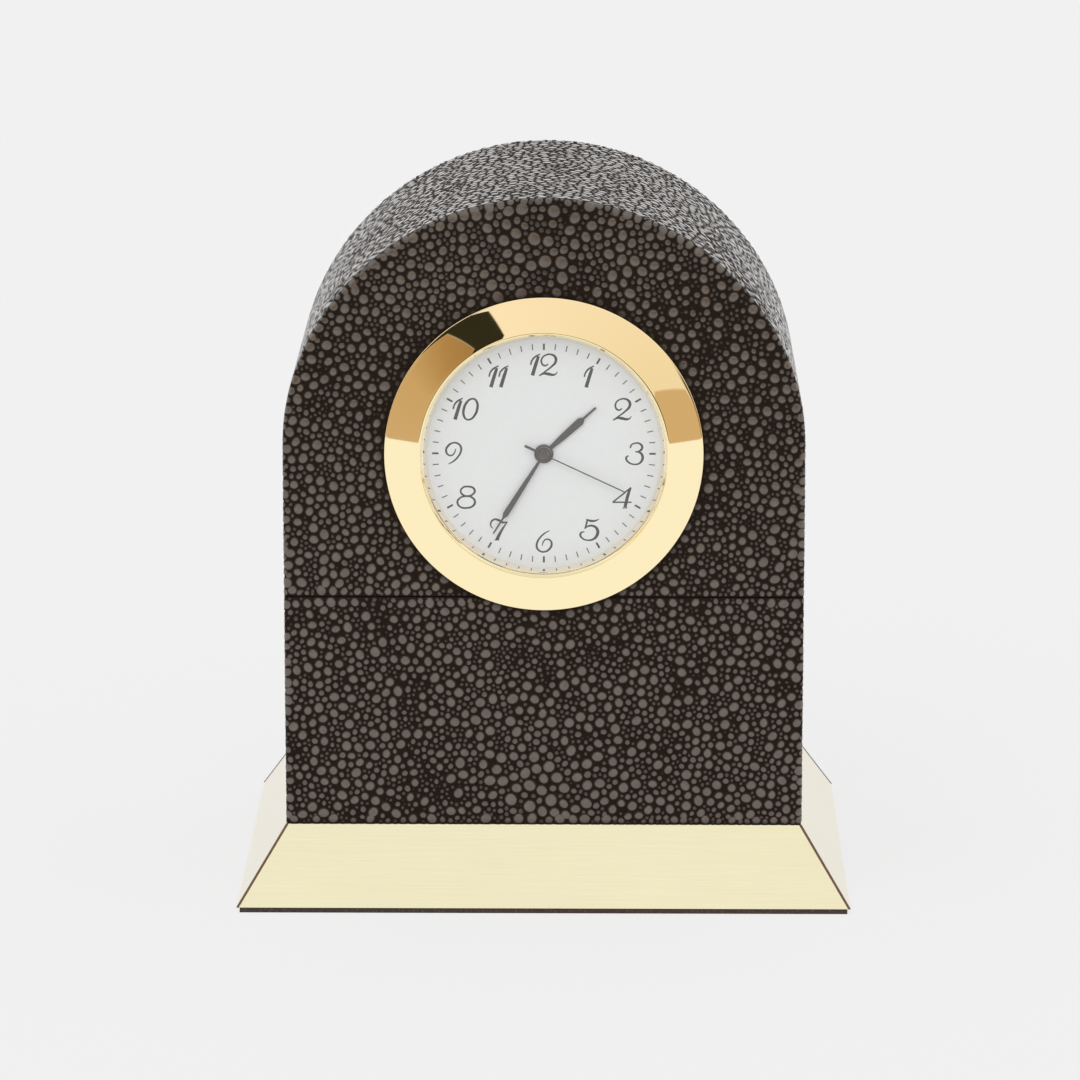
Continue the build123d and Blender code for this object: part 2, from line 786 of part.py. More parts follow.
def quartz_crystal():
    """Small metal can with its crystal, lying along the board."""
    depth = main_plate_back + board_thickness + crystal_radius
    can = fillet(Cylinder(crystal_radius, crystal_length).edges(), crystal_end_radius)
    place = polar(board_middle(), crystal_angle)
    return spot(place, depth) * Rot(0, 0, 90 - crystal_angle) * Rot(0, 90, 0) * can


def battery():
    """Button cell: wide cup to the front and a smaller cap to the back."""
    step = battery_back - battery_step
    cell = disc(battery_radius, battery_front, step)
    cell += disc(battery_radius - battery_rim, step, battery_back)
    return spot(battery_place) * cell


def contact_strip(radius):
    """Flat strip that runs round the edge of the main plate from the board to the battery."""
    start = main_plate_back
    end = start + contact_thickness
    inner = radius - contact_width / 2
    return sector(radius + contact_width / 2, inner, start, end, board_end_angle, battery_angle)


def contact_minus():
    """Negative contact: strip and round pad under the battery."""
    start = main_plate_back
    pad = disc(battery_radius / 2, start, start + contact_thickness)
    strip_end = polar(contact_minus_radius, battery_angle)
    reach = bar(battery_place, strip_end, contact_width, start, start + contact_thickness)
    return contact_strip(contact_minus_radius) + spot(battery_place) * pad + reach


def contact_plus():
    """Positive contact: strip and upright tab against the battery's side."""
    strip = contact_strip(contact_plus_radius)
    side = battery_distance + battery_radius + seat_gap
    height = contact_tab_height
    tab = Box(contact_thickness, 2 * contact_width, height)
    place = polar(side + contact_thickness / 2, battery_angle)
    middle = main_plate_back + height / 2
    return strip + spot(place, middle) * Rot(0, 0, -battery_angle) * tab


def lug_pair(outer, start, end, middle, degrees):
    """Two opposite ring sectors for the battery cap's lugs or their notches."""
    pair = None
    for turn in (0, 180):
        first = middle + turn - degrees / 2
        lug = sector(outer, battery_radius + part_gap, start, end, first, first + degrees)
        pair = lug if pair is None else pair + lug
    return pair


def rear_cover():
    """Snap-on back of the insert with the battery opening and the knob's hole."""
    cover = disc(insert_radius, cover_front, cover_back)
    cover = chamfer(cover.faces().sort_by(Axis.Z)[-1].edges(), cover_edge_chamfer)
    spigot_radius = insert_bore_radius - seat_gap
    spigot_front = cover_front - cover_spigot_length
    cover += ring(spigot_radius, spigot_radius - cover_spigot_wall, spigot_front, cover_front)
    start = cover_front - overrun
    end = cover_back + overrun
    opening = disc(cap_plug_radius + running_gap, start, end)
    notch_degrees = cap_lug_degrees + 2 * cap_notch_margin_degrees
    lug_radius = cap_plug_radius + cap_lug_reach + part_gap
    opening += lug_pair(lug_radius, start, end, -cap_turn_degrees, notch_degrees)
    cover -= spot(battery_place) * opening
    return cover - spot(knob_place) * disc(knob_arbor_radius + running_gap, start, end)


def battery_cap():
    """Round battery cap with a coin slot outside and two bayonet lugs inside."""
    front = cover_back + seat_gap
    end = front + cap_thickness
    cap = disc(cap_radius, front, end)
    cap = chamfer(cap.faces().sort_by(Axis.Z)[-1].edges(), cap_chamfer)
    plug_front = cover_front - part_gap
    cap += disc(cap_plug_radius, plug_front, front)
    lug_end = plug_front + seat_gap
    cap -= disc(battery_radius - battery_rim, plug_front - overrun, front)
    lug_start = lug_end - cap_lug_thickness
    cap += ring(cap_plug_radius, battery_radius + part_gap, lug_start, plug_front)
    cap += lug_pair(cap_plug_radius + cap_lug_reach, lug_start, lug_end, 0, cap_lug_degrees)
    cap -= Pos(0, 0, end) * Box(2 * cap_radius * cap_slot_share, cap_slot_width, 2 * cap_slot_depth)
    return spot(battery_place) * cap


def knob_shaft(phase):
    """Setting arbor with the pinion that turns the minute works."""
    part = pinion(knob_pinion_teeth, setting_module, phase, cannon_teeth_front)
    part += disc(knob_arbor_radius, cannon_teeth_front, knob_front + knob_length / 2)
    return spot(knob_place) * part


def setting_knob():
    """Fluted knob behind the rear cover."""
    knob = disc(knob_radius, knob_front, knob_back)
    knob = chamfer(knob.faces().sort_by(Axis.Z)[-1].edges(), knob_chamfer)
    flute = Cylinder(knob_groove_radius, 2 * knob_length)
    for index in range(knob_groove_count):
        turn = Rot(0, 0, 360 * index / knob_groove_count)
        knob -= turn * Pos(knob_radius, 0, (knob_front + knob_back) / 2) * flute
    socket_end = knob_front + knob_length / 2 + seat_gap
    knob -= disc(knob_arbor_radius + seat_gap, knob_front - overrun, socket_end)
    return spot(knob_place) * knob


def blade(length, width, shares):
    """Flat hand outline pointing to twelve o'clock."""
    right = [(side * width / 2, -place * length) for place, side in shares]
    left = [(-x, y) for x, y in reversed(right)]
    return make_face(Polyline(*right, *left, close=True))


def hour_hand():
    """Hour hand with its boss on the hour wheel's pipe."""
    back = dial_depth - hour_hand_height
    front = back - hand_thickness
    outline = blade(hour_hand_length, hour_blade_width, hour_blade_shares)
    part = Pos(0, 0, front) * extrude(outline, hand_thickness)
    part += disc(hour_boss_radius, front, back)
    part -= disc(hour_pipe_radius + seat_gap, front - overrun, back + overrun)
    return Rot(0, 0, 360 * (hour_of_day + minutes() / 60) / 12) * part


def minutes():
    """Minutes past the hour with the seconds' share."""
    return minute_of_hour + second_of_minute / 60


def minute_hand():
    """Minute hand with its boss on the cannon pinion's pipe."""
    back = dial_depth - minute_hand_height
    front = back - hand_thickness
    outline = blade(minute_hand_length, minute_blade_width, minute_blade_shares)
    part = Pos(0, 0, front) * extrude(outline, hand_thickness)
    part += disc(minute_boss_radius, front, back)
    part -= disc(cannon_pipe_radius + seat_gap, front - overrun, back + overrun)
    return Rot(0, 0, 360 * minutes() / 60) * part


def second_hand():
    """Thin second hand with its counterweight tail and its cap on the arbor."""
    back = dial_depth - second_hand_height
    front = back - hand_thickness
    run = Pos(0, -second_hand_length / 2) * Rectangle(second_hand_width, second_hand_length)
    tail = Pos(0, second_tail_length / 2) * Rectangle(second_tail_width, second_tail_length)
    part = Pos(0, 0, front) * extrude(run + tail, hand_thickness)
    cap_front = back - second_cap_height
    part += disc(second_cap_radius, cap_front, back)
    part -= disc(second_arbor_radius + seat_gap, front, back + overrun)
    return Rot(0, 0, 360 * second_of_minute / 60) * part


def write_case():
    """Write the nodes of the case and its plinth."""
    save("body_core", body_core())
    save("arch_skin", arch_skin())
    front = face_skin()
    back = mirror(front, about=Plane.XZ)
    hole = insert_frame * disc(bore_radius + skin_hole_margin, -overrun, skin_thickness + overrun)
    upper, lower = seam_halves(front - hole)
    save("front_skin_upper", upper)
    save("front_skin_lower", lower)
    upper, lower = seam_halves(back)
    save("back_skin_upper", upper)
    save("back_skin_lower", lower)
    save("plinth_core", plinth_core())
    front_plate = plinth_plate(foot_width, foot_depth)
    side_plate = plinth_plate(foot_depth, foot_width)
    save("plinth_plate_front", front_plate)
    save("plinth_plate_back", Rot(0, 0, 180) * front_plate)
    save("plinth_plate_right", Rot(0, 0, 90) * side_plate)
    save("plinth_plate_left", Rot(0, 0, -90) * side_plate)
    pad = Box(foot_width - 2 * pad_inset, foot_depth - 2 * pad_inset, pad_thickness)
    save("base_pad", Pos(0, 0, pad_thickness / 2) * pad)
    save("case_screws", case_screws())


def write_insert():
    """Write the fixed nodes of the insert."""
    hole = disc(dial_hole_radius, dial_depth - overrun, dial_back + overrun)
    pieces = {
        "bezel": bezel(),
        "lens": disc(lens_radius, bezel_lip_back, lens_back),
        "reflector_ring": reflector_ring(),
        "dial": disc(dial_radius, dial_depth, dial_back) - hole,
        "insert_case": insert_case(),
        "grip_ring": grip_ring(),
        "main_plate": main_plate(),
        "train_bridge": train_bridge(),
        "movement_screws": movement_screws(),
        "stator": stator(),
        "coil_core": coil_core(),
        "coil": coil(),
        "circuit_board": circuit_board(),
        "chip": chip(),
        "quartz_crystal": quartz_crystal(),
        "battery": battery(),
        "contact_plus": contact_plus(),
        "contact_minus": contact_minus(),
        "rear_cover": rear_cover(),
    }
    for name, shape in pieces.items():
        save(name, insert_frame * shape)


def write_moving():
    """Write the hands, wheels, rotor, knob and battery cap, in mesh at rest."""
    works_phase = mesh_phase(0, cannon_teeth, dial_centre, minute_works_teeth, works_place)
    hour_phase = mesh_phase(0, minute_works_pinion_teeth, works_place, hour_teeth, dial_centre)
    knob_phase = mesh_phase(works_phase, minute_works_teeth, works_place, knob_pinion_teeth, knob_place)
    third_phase = mesh_phase(0, second_pinion_teeth, dial_centre, third_teeth, third_place)
    centre_phase = mesh_phase(0, third_pinion_teeth, third_place, centre_teeth, dial_centre)
    leaf_phase = mesh_phase(0, second_teeth, dial_centre, intermediate_pinion_teeth, intermediate_place)
    rotor_phase = mesh_phase(0, intermediate_teeth, intermediate_place, rotor_pinion_teeth, rotor_place)
    pieces = {
        "hour_hand": hour_hand(),
        "hour_wheel": hour_wheel(hour_phase),
        "minute_hand": minute_hand(),
        "cannon_pinion": cannon_pinion(),
        "minute_works_wheel": minute_works_wheel(works_phase, 0),
        "second_hand": second_hand(),
        "second_wheel": second_wheel(0, 0),
        "third_wheel": third_wheel(third_phase, 0),
        "centre_wheel": centre_wheel(centre_phase),
        "intermediate_wheel": intermediate_wheel(0, leaf_phase),
        "rotor_pinion": rotor_pinion(rotor_phase),
        "rotor_magnet": rotor_magnet(),
        "knob_shaft": knob_shaft(knob_phase),
        "setting_knob": setting_knob(),
        "battery_cap": battery_cap(),
    }
    for name, shape in pieces.items():
        save(name, insert_frame * shape)


os.makedirs("parts", exist_ok=True)
write_case()
write_insert()
write_moving()
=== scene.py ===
import math
import random

import bmesh
import bpy
import numpy as np
from bpy.props import FloatProperty, FloatVectorProperty, IntProperty, PointerProperty
from mathutils import Matrix, Vector
from mathutils.kdtree import KDTree


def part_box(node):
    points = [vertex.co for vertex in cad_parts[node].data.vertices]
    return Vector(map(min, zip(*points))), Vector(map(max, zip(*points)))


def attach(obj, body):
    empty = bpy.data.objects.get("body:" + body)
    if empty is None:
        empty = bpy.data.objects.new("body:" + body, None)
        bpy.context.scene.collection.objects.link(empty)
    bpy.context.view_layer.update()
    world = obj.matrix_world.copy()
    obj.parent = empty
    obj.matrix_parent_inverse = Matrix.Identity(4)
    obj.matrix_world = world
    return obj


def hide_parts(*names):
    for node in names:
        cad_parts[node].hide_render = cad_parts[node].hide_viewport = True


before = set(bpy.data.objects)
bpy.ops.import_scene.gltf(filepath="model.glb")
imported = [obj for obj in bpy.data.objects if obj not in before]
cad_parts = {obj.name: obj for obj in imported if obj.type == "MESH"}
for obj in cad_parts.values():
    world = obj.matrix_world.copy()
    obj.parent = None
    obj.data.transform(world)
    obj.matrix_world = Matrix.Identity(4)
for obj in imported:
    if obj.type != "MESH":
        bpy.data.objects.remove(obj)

# Beehive shelf clock: an arched block covered with pebbled ray skin on a brass plinth, with a
# gilt quartz insert. The packed CAD model is the frame, and this file gives it its finishes.
# Lengths are metres. +Z is up, the dial faces -Y, and the origin is the middle of the foot.

bl_info = {
    "name": "Beehive shelf clock",
    "version": (1, 0, 0),
    "blender": (4, 5, 0),
    "location": "View3D > Sidebar > Clock",
    "description": "Finishes, pebbled skin, gilt rings, dial print and stage of a beehive shelf clock",
    "category": "Add Mesh",
}

MM = 0.001
QUARTER = math.pi / 2
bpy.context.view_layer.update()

# Places that the frame gives
band_low, band_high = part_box("arch_skin")
bezel_low, bezel_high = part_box("bezel")
lens_low, lens_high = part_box("lens")
front_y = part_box("front_skin_upper")[0].y
back_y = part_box("back_skin_upper")[1].y
dial_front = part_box("dial")[0].y
foot_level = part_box("front_skin_lower")[0].z
seam_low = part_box("front_skin_lower")[1].z
seam_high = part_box("front_skin_upper")[0].z
case_half = band_high.x
case_top = band_high.z
skin_thickness = band_low.y - front_y
insert_axis = Vector(((bezel_low.x + bezel_high.x) / 2, 0, (bezel_low.z + bezel_high.z) / 2))
bezel_radius = (bezel_high.x - bezel_low.x) / 2
lens_radius = (lens_high.x - lens_low.x) / 2


def linear(code):
    """Linear RGBA of an sRGB hex value."""
    parts = [int(code[place:place + 2], 16) / 255 for place in (1, 3, 5)]
    low = [part / 12.92 for part in parts]
    high = [((part + 0.055) / 1.055) ** 2.4 for part in parts]
    return tuple(a if part <= 0.04045 else b for part, a, b in zip(parts, low, high)) + (1.0,)


# Settings


def number(name, description, default, **kinds):
    """A number that a user may change."""
    return FloatProperty(name=name, description=description, default=default, **kinds)


def length(name, description, default):
    """A length that a user may change."""
    return number(name, description, default, unit="LENGTH", precision=5)


def colour(name, description, code):
    """A colour that a user may change."""
    return FloatVectorProperty(
        name=name, description=description, default=linear(code), size=4, subtype="COLOR", min=0, max=1
    )


class SkinSettings(bpy.types.PropertyGroup):
    """Shape of the arch and its pebbled skin."""

    shoulder_offset: length("Shoulder offset", "Distance of the shoulder's centre from the middle", 4.35 * MM)
    crown_lift: length("Crown lift", "How much the arch rises above a half round", 2.8 * MM)
    edge_radius: length("Edge radius", "Rounding of the face hides at the case's edge", 0.65 * MM)
    large_radius: length("Large pebble", "Radius of the largest pebbles at their feet", 0.99 * MM)
    rise: length("Pebble rise", "Height of a large pebble above the ground", 0.17 * MM)
    cover: number("Cover", "Share of the hide that pebbles cover", 1.0, min=0.1, max=1.2)
    clearance: length("Bezel clearance", "How far inside the bezel's edge pebbles may lie", 0.6 * MM)
    # This width sets the ring of pebbles darkened in colour round the bezel: painted shade where the bezel's
    # shade falls
    dye_width: length("Dye width", "Width of the ring of stained pebbles round the bezel", 1.7 * MM)
    seed: IntProperty(name="Seed", description="Seed of the pebbles' scatter", default=7)
    pebble: colour("Pebble", "Polished top of a pebble", "#594E44")
    flank: colour("Flank", "Side of a pebble", "#33281F")
    groove: colour("Groove", "Dyed ground between the pebbles", "#251B14")


class BrassSettings(bpy.types.PropertyGroup):
    """Gilt insert rings and brass plinth plates."""

    crest_rise: length("Crest", "Height of the bezel's crest above the skin", 1.92 * MM)
    edge_rise: length("Outer edge", "Height of the bezel's outer edge above the skin", 0.84 * MM)
    edge_radius: length("Edge radius", "Rounding of the bezel's outer edge", 0.15 * MM)
    hollow: length("Hollow", "How far the bezel's face is hollowed below a straight cone", 0.025 * MM)
    opening: length("Opening", "Radius of the bezel's crest, where its face ends", 19.72 * MM)
    crest_width: length("Crest width", "Width of the slowly turning land inside the crest", 0.3 * MM)
    bead_width: length("Bead width", "Width of the inner slope between the land and the glass", 0.4 * MM)
    reflector_front: length("Reflector at glass", "Inner radius of the reflector at the glass", 18.9 * MM)
    reflector_back: length("Reflector at dial", "Inner radius of the reflector at the dial", 18.3 * MM)
    plate_thickness: length("Plate", "Thickness of the plinth's brass plates", 1.0 * MM)
    overhang: length("Overhang", "How far the plinth's foot stands out from the case", 7.65 * MM)
    mitre_gap: length("Mitre gap", "Gap between two plates at a corner", 0.45 * MM)
    mitre_depth: length("Mitre depth", "How deep the wood lies in a mitre", 0.1 * MM)
    plate_bevel: length("Plate edge", "Rounding of a plate's edges", 0.08 * MM)
    gilt: colour("Gilt", "Polished gilding", "#FDEDC0")
    pale_gilt: colour("Pale gilt", "Thin pale gilding of the reflector ring", "#FAF0DE")
    wood: colour("Mitre wood", "Core wood that shows in the mitres", "#6E4E30")
    plate: colour("Plinth brass", "Pale brushed brass", "#F3ECC8")


class DialSettings(bpy.types.PropertyGroup):
    """Dial print and hands."""

    mark_radius: length("Mark radius", "Outer end of the minute marks", 17.5 * MM)
    hour_mark_length: length("Hour mark length", "Length of every fifth mark", 1.0 * MM)
    hour_mark_width: length("Hour mark width", "Width of every fifth mark", 0.3 * MM)
    minute_mark_length: length("Minute mark length", "Length of the other marks", 0.94 * MM)
    minute_mark_width: length("Minute mark width", "Width of the other marks", 0.15 * MM)
    numeral_radius: length("Numeral radius", "Circle through the numerals' middles", 14.1 * MM)
    numeral_height: length("Numeral height", "Height of the numerals", 3.5 * MM)
    numeral_weight: number("Numeral weight", "Share that widens the strokes", 1.35, min=0.2)
    print_thickness: length("Print", "Thickness of the print above the dial", 0.015 * MM)
    lacquer: colour("Lacquer", "White dial", "#EBEDEC")
    ink: colour("Ink", "Printed numerals and marks", "#2C2A2B")
    hand: colour("Hands", "Dark hands", "#403B3A")


class StageSettings(bpy.types.PropertyGroup):
    """Camera, lamps and background."""

    distance: length("Camera depth", "Camera's place in front of the clock", 895 * MM)
    height: length("Camera height", "Camera's height above the floor", 255 * MM)
    side: length("Camera side", "Camera's place to the right of the middle", 8.4 * MM)
    pitch: number("Pitch", "How far the camera looks down", 0.223, unit="ROTATION")
    yaw: number("Yaw", "How far the camera turns left", 0.01041, unit="ROTATION")
    lens: number("Lens", "Focal length on a 36 mm sensor", 188.2, unit="CAMERA")
    table_front: length("Table front", "Front edge of the pale table top", 445 * MM)
    lamp: number("Lamp", "Strength of the soft sun lamp", 0.95, min=0)
    room: number("Room", "Strength of the room's even light", 0.75, min=0)
    background: colour("Background", "Plain pale background", "#F1F1F1")


GROUPS = {
    "clock_skin": SkinSettings,
    "clock_brass": BrassSettings,
    "clock_dial": DialSettings,
    "clock_stage": StageSettings,
}


# Meshes


def stand(name, data):
    """A new object in the scene."""
    made = bpy.data.objects.new(name, data)
    bpy.context.scene.collection.objects.link(made)
    return made


def piece(name, bm, body, material, crease=math.radians(35)):
    """Make a mesh object of a bmesh, smooth but for its creases, that rides on a body."""
    mesh = bpy.data.meshes.new(name)
    bm.to_mesh(mesh)
    bm.free()
    for face in mesh.polygons:
        face.use_smooth = True
    mesh.set_sharp_from_angle(angle=crease)
    mesh.materials.append(material)
    made = stand(name, mesh)
    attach(made, body)
    return made


def wear(material, *names):
    """Give CAD nodes a finish."""
    for name in names:
        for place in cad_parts[name].material_slots:
            place.link = "OBJECT"
            place.material = material


def lathe(profile, steps):
    """Spin a closed profile of radius and depth about the insert's axis."""
    bm = bmesh.new()
    corners = [
        bm.verts.new((insert_axis.x + radius, front_y + depth, insert_axis.z)) for radius, depth in profile
    ]
    edges = [bm.edges.new(pair) for pair in zip(corners, corners[1:] + corners[:1])]
    bmesh.ops.spin(
        bm, geom=corners + edges, cent=insert_axis, axis=(0, 1, 0), angle=2 * math.pi, steps=steps,
        use_merge=True,
    )
    bmesh.ops.remove_doubles(bm, verts=bm.verts, dist=0.001 * MM)
    bmesh.ops.recalc_face_normals(bm, faces=bm.faces)
    return bm


def arc(centre, radius, first, last, count):
    """Points on an arc, angles in degrees from outwards towards the back."""
    points = []
    for index in range(count + 1):
        angle = math.radians(first + (last - first) * index / count)
        points.append((centre[0] + radius * math.cos(angle), centre[1] + radius * math.sin(angle)))
    return points


# Materials


def start(name):
    """A new node material and its surface shader."""
    material = bpy.data.materials.new(name)
    material.use_nodes = True
    tree = material.node_tree
    return material, tree, tree.nodes["Principled BSDF"]


def feed(tree, node, inputs):
    """Set a node's inputs to values, or link them to sockets."""
    for key, value in inputs.items():
        if isinstance(value, bpy.types.NodeSocket):
            tree.links.new(value, node.inputs[key])
        else:
            node.inputs[key].default_value = value


def add(tree, kind, inputs=None, **settings):
    """Add a node with its settings and inputs."""
    made = tree.nodes.new(kind)
    for name, value in settings.items():
        setattr(made, name, value)
    feed(tree, made, inputs or {})
    return made


def ramp(tree, factor, stops):
    """Colour socket of a ramp through places and colours."""
    made = add(tree, "ShaderNodeValToRGB", {"Fac": factor})
    elements = made.color_ramp.elements
    while len(elements) < len(stops):
        elements.new(0.5)
    for element, (place, value) in zip(elements, stops):
        element.position = place
        element.color = value
    return made.outputs["Color"]


def grain(tree, size, stretch=(1, 1, 1), detail=4.0, roughness=0.55):
    """Noise socket on object coordinates whose lumps are about as large as the size."""
    place = add(tree, "ShaderNodeTexCoord")
    scale = tuple(1 / part for part in stretch)
    mapped = add(tree, "ShaderNodeMapping", {"Vector": place.outputs["Object"], "Scale": scale})
    inputs = {"Vector": mapped.outputs["Vector"], "Scale": 1 / size, "Detail": detail, "Roughness": roughness}
    return add(tree, "ShaderNodeTexNoise", inputs).outputs["Fac"]


def relief(tree, shader, height, depth):
    """Bump the shader by a height socket, with a real depth."""
    made = add(tree, "ShaderNodeBump", {"Height": height, "Distance": depth, "Strength": 1.0})
    tree.links.new(made.outputs["Normal"], shader.inputs["Normal"])


def spread(tree, socket, low, high, first=0.3, last=0.7):
    """Map a socket's values between the first and the last one to a range, as noise between 0.3 and 0.7."""
    inputs = {"Value": socket, "From Min": first, "From Max": last, "To Min": low, "To Max": high}
    return add(tree, "ShaderNodeMapRange", inputs).outputs["Result"]


def times(tree, tint, shade):
    """A colour made darker or paler by a value."""
    inputs = {0: 1.0, 6: tint, 7: shade}
    return add(tree, "ShaderNodeMix", inputs, data_type="RGBA", blend_type="MULTIPLY").outputs[2]


def scaled(shade, *shares):
    """A colour made darker or paler by one share, or by one for each channel."""
    return tuple(min(part * share, 1.0) for part, share in zip(shade[:3], shares * 3)) + (1.0,)


def grained(name, size, stops, roughness, depth=0.0, stretch=(1, 1, 1), detail=4.0, metallic=0.0):
    """A grained surface: colours by its noise, roughness as a value or a range, and real relief."""
    material, tree, shader = start(name)
    lumps = grain(tree, size, stretch, detail)
    if isinstance(roughness, tuple):
        roughness = spread(tree, lumps, *roughness)
    feed(tree, shader, {"Metallic": metallic, "Base Color": ramp(tree, lumps, stops), "Roughness": roughness})
    if depth:
        relief(tree, shader, lumps, depth)
    return material


def finish(rows):
    """Give CAD nodes the grained surfaces of a table."""
    for name, dark, pale, metallic, roughness, size, stretch, depth, nodes in rows:
        stops = [(0.3, linear(dark)), (0.7, linear(pale))]
        made = grained(name, size * MM, stops, roughness, depth * MM, stretch, metallic=metallic)
        wear(made, *nodes)


def dyed_skin_ground(skin):
    """Dyed ray skin between the pebbles: soft, dark brown and almost without gloss."""
    stops = [(0.3, scaled(skin.groove, 0.7)), (0.75, tuple(skin.groove))]
    material = grained("dyed_ray_skin_ground", 0.35 * MM, stops, 0.7, 0.03 * MM)
    material.node_tree.nodes["Principled BSDF"].inputs["Specular IOR Level"].default_value = 0.08
    return material


def polished_pebbles(skin):
    """Ray skin pebbles, ground and polished: grey-brown tops, dark flanks and a soft gloss."""
    material, tree, shader = start("polished_ray_skin_pebbles")
    tone = add(tree, "ShaderNodeAttribute", attribute_name="tone").outputs["Fac"]
    stops = [(0.0, tuple(skin.groove)), (0.3, tuple(skin.flank)), (1.0, tuple(skin.pebble))]
    cloud = spread(tree, grain(tree, 1.6 * MM, detail=3.0), 0.74, 1.2)
    polish = grain(tree, 0.25 * MM)
    # Flanks are left as the dye dried on them, and only the ground tops are polished
    dull = spread(tree, tone, 0.4, 0.0, 0.2, 0.6)
    gloss = add(tree, "ShaderNodeMath", {0: spread(tree, polish, 0.2, 0.28), 1: dull}, operation="ADD")
    relief(tree, shader, polish, 0.001 * MM)
    # Clear wax is rubbed over the tops, and the flanks below them stay dull
    wax = spread(tree, tone, 0.0, 1.0, 0.1, 0.45)
    feed(tree, shader, {
        "Base Color": times(tree, ramp(tree, tone, stops), cloud), "Roughness": gloss.outputs[0],
        "Specular IOR Level": 0.12, "Coat Weight": wax, "Coat Roughness": 0.16, "Coat IOR": 1.62,
    })
    return material


def polished_gilt(name, shade):
    """Gilt brass, polished: a clear warm mirror with hardly any haze."""
    material, tree, shader = start(name)
    haze = spread(tree, grain(tree, 2.5 * MM, detail=2.0), 0.012, 0.03)
    feed(tree, shader, {"Metallic": 1.0, "Base Color": shade, "Roughness": haze})
    return material


def brushed_brass(brass, name, stretch, lacquer, edge):
    """Pale lacquered brass, brushed along the plate: fine lines that show as a faint sheen."""
    material, tree, shader = start(name)
    # Brush lines are about 0.05 mm apart, drawn at 0.2 mm so that they show
    lines = grain(tree, 0.2 * MM, stretch, detail=3.0)
    tint = ramp(tree, lines, [(0.3, scaled(brass.plate, 0.965, 0.955, 0.93)), (0.7, tuple(brass.plate))])
    cloud = spread(tree, grain(tree, 14 * MM, detail=2.0), 0.975, 1.0)
    relief(tree, shader, lines, 0.0006 * MM)
    # The clear lacquer keeps the brass bright and lies smooth over the brush lines
    # The edge tint colours reflections at grazing angles. A grey one, as on the side plates, is a painted
    # reflection that is greyer and a little darker
    feed(tree, shader, {
        "Metallic": 1.0, "Base Color": times(tree, tint, cloud), "Roughness": spread(tree, lines, 0.14, 0.2),
        "Specular Tint": edge, "Coat Weight": lacquer, "Coat Roughness": 0.08,
    })
    return material


def crystal_glass():
    """Flat mineral glass: clear, and it mirrors what is in front of it a little."""
    material, tree, shader = start("flat_mineral_glass")
    tree.nodes.remove(shader)
    clear = add(tree, "ShaderNodeBsdfTransparent", {"Color": (1, 1, 1, 1)})
    mirror = add(tree, "ShaderNodeBsdfAnisotropic", {"Color": (1, 1, 1, 1), "Roughness": 0.03})
    # Both faces mirror about 4 percent, so the front one is given what the two give together
    gloss = add(tree, "ShaderNodeFresnel", {"IOR": 1.8})
    side = add(tree, "ShaderNodeNewGeometry")
    front = add(tree, "ShaderNodeMath", {0: 1.0, 1: side.outputs["Backfacing"]}, operation="SUBTRACT")
    share = add(tree, "ShaderNodeMath", {0: gloss.outputs["Fac"], 1: front.outputs[0]}, operation="MULTIPLY")
    inputs = {0: share.outputs[0], 1: clear.outputs[0], 2: mirror.outputs[0]}
    mixed = add(tree, "ShaderNodeMixShader", inputs)
    tree.links.new(mixed.outputs[0], tree.nodes["Material Output"].inputs["Surface"])
    return material


def white_lacquer(dial):
    """Dial lacquer on steel, sprayed: cool white with a faint orange peel."""
    stops = [(0.3, scaled(dial.lacquer, 0.985)), (0.7, tuple(dial.lacquer))]
    return grained("sprayed_dial_lacquer", 1.2 * MM, stops, (0.45, 0.55), 0.001 * MM, detail=2.0)


def pad_ink(dial):
    """Pad-printed ink: matt black, and here and there a little paler."""
    stops = [(0.35, tuple(dial.ink)), (0.7, scaled(dial.ink, 1.35))]
    return grained("pad_printed_ink", 0.15 * MM, stops, 0.6)


def hand_lacquer(dial):
    """Stamped hands in dark grey lacquer: satin, with a fine spray grain."""
    stops = [(0.3, tuple(dial.hand)), (0.7, scaled(dial.hand, 1.25))]
    return grained("satin_hand_lacquer", 0.12 * MM, stops, (0.38, 0.5), 0.002 * MM)


def planed_wood(name, late, early, along):
    """Planed softwood: straight grain in two browns with darker late wood."""
    stops = [(0.32, linear(late)), (0.45, linear(early)), (0.75, linear(early))]
    return grained(name, 1.1 * MM, stops, (0.7, 0.55), 0.04 * MM, along, 5.0)


def oiled_wood(brass):
    """Oiled softwood at the core's corners: mid brown, with its grain along the rib."""
    stops = [(0.35, scaled(brass.wood, 0.6)), (0.6, tuple(brass.wood))]
    return grained("oiled_core_wood", 0.3 * MM, stops, (0.65, 0.5), 0.01 * MM, (1, 1, 6))


def grained_leather():
    """Thin split leather, dyed dark brown and embossed with a fine grain."""
    material, tree, shader = start("embossed_split_leather")
    place = add(tree, "ShaderNodeTexCoord")
    inputs = {"Vector": place.outputs["Object"], "Scale": 1 / (0.7 * MM)}
    cells = add(tree, "ShaderNodeTexVoronoi", inputs, feature="DISTANCE_TO_EDGE")
    tint = ramp(tree, cells.outputs["Distance"], [(0.0, linear("#2E221E")), (0.35, linear("#4C3B34"))])
    feed(tree, shader, {"Base Color": tint, "Roughness": 0.58})
    relief(tree, shader, cells.outputs["Distance"], 0.06 * MM)
    return material


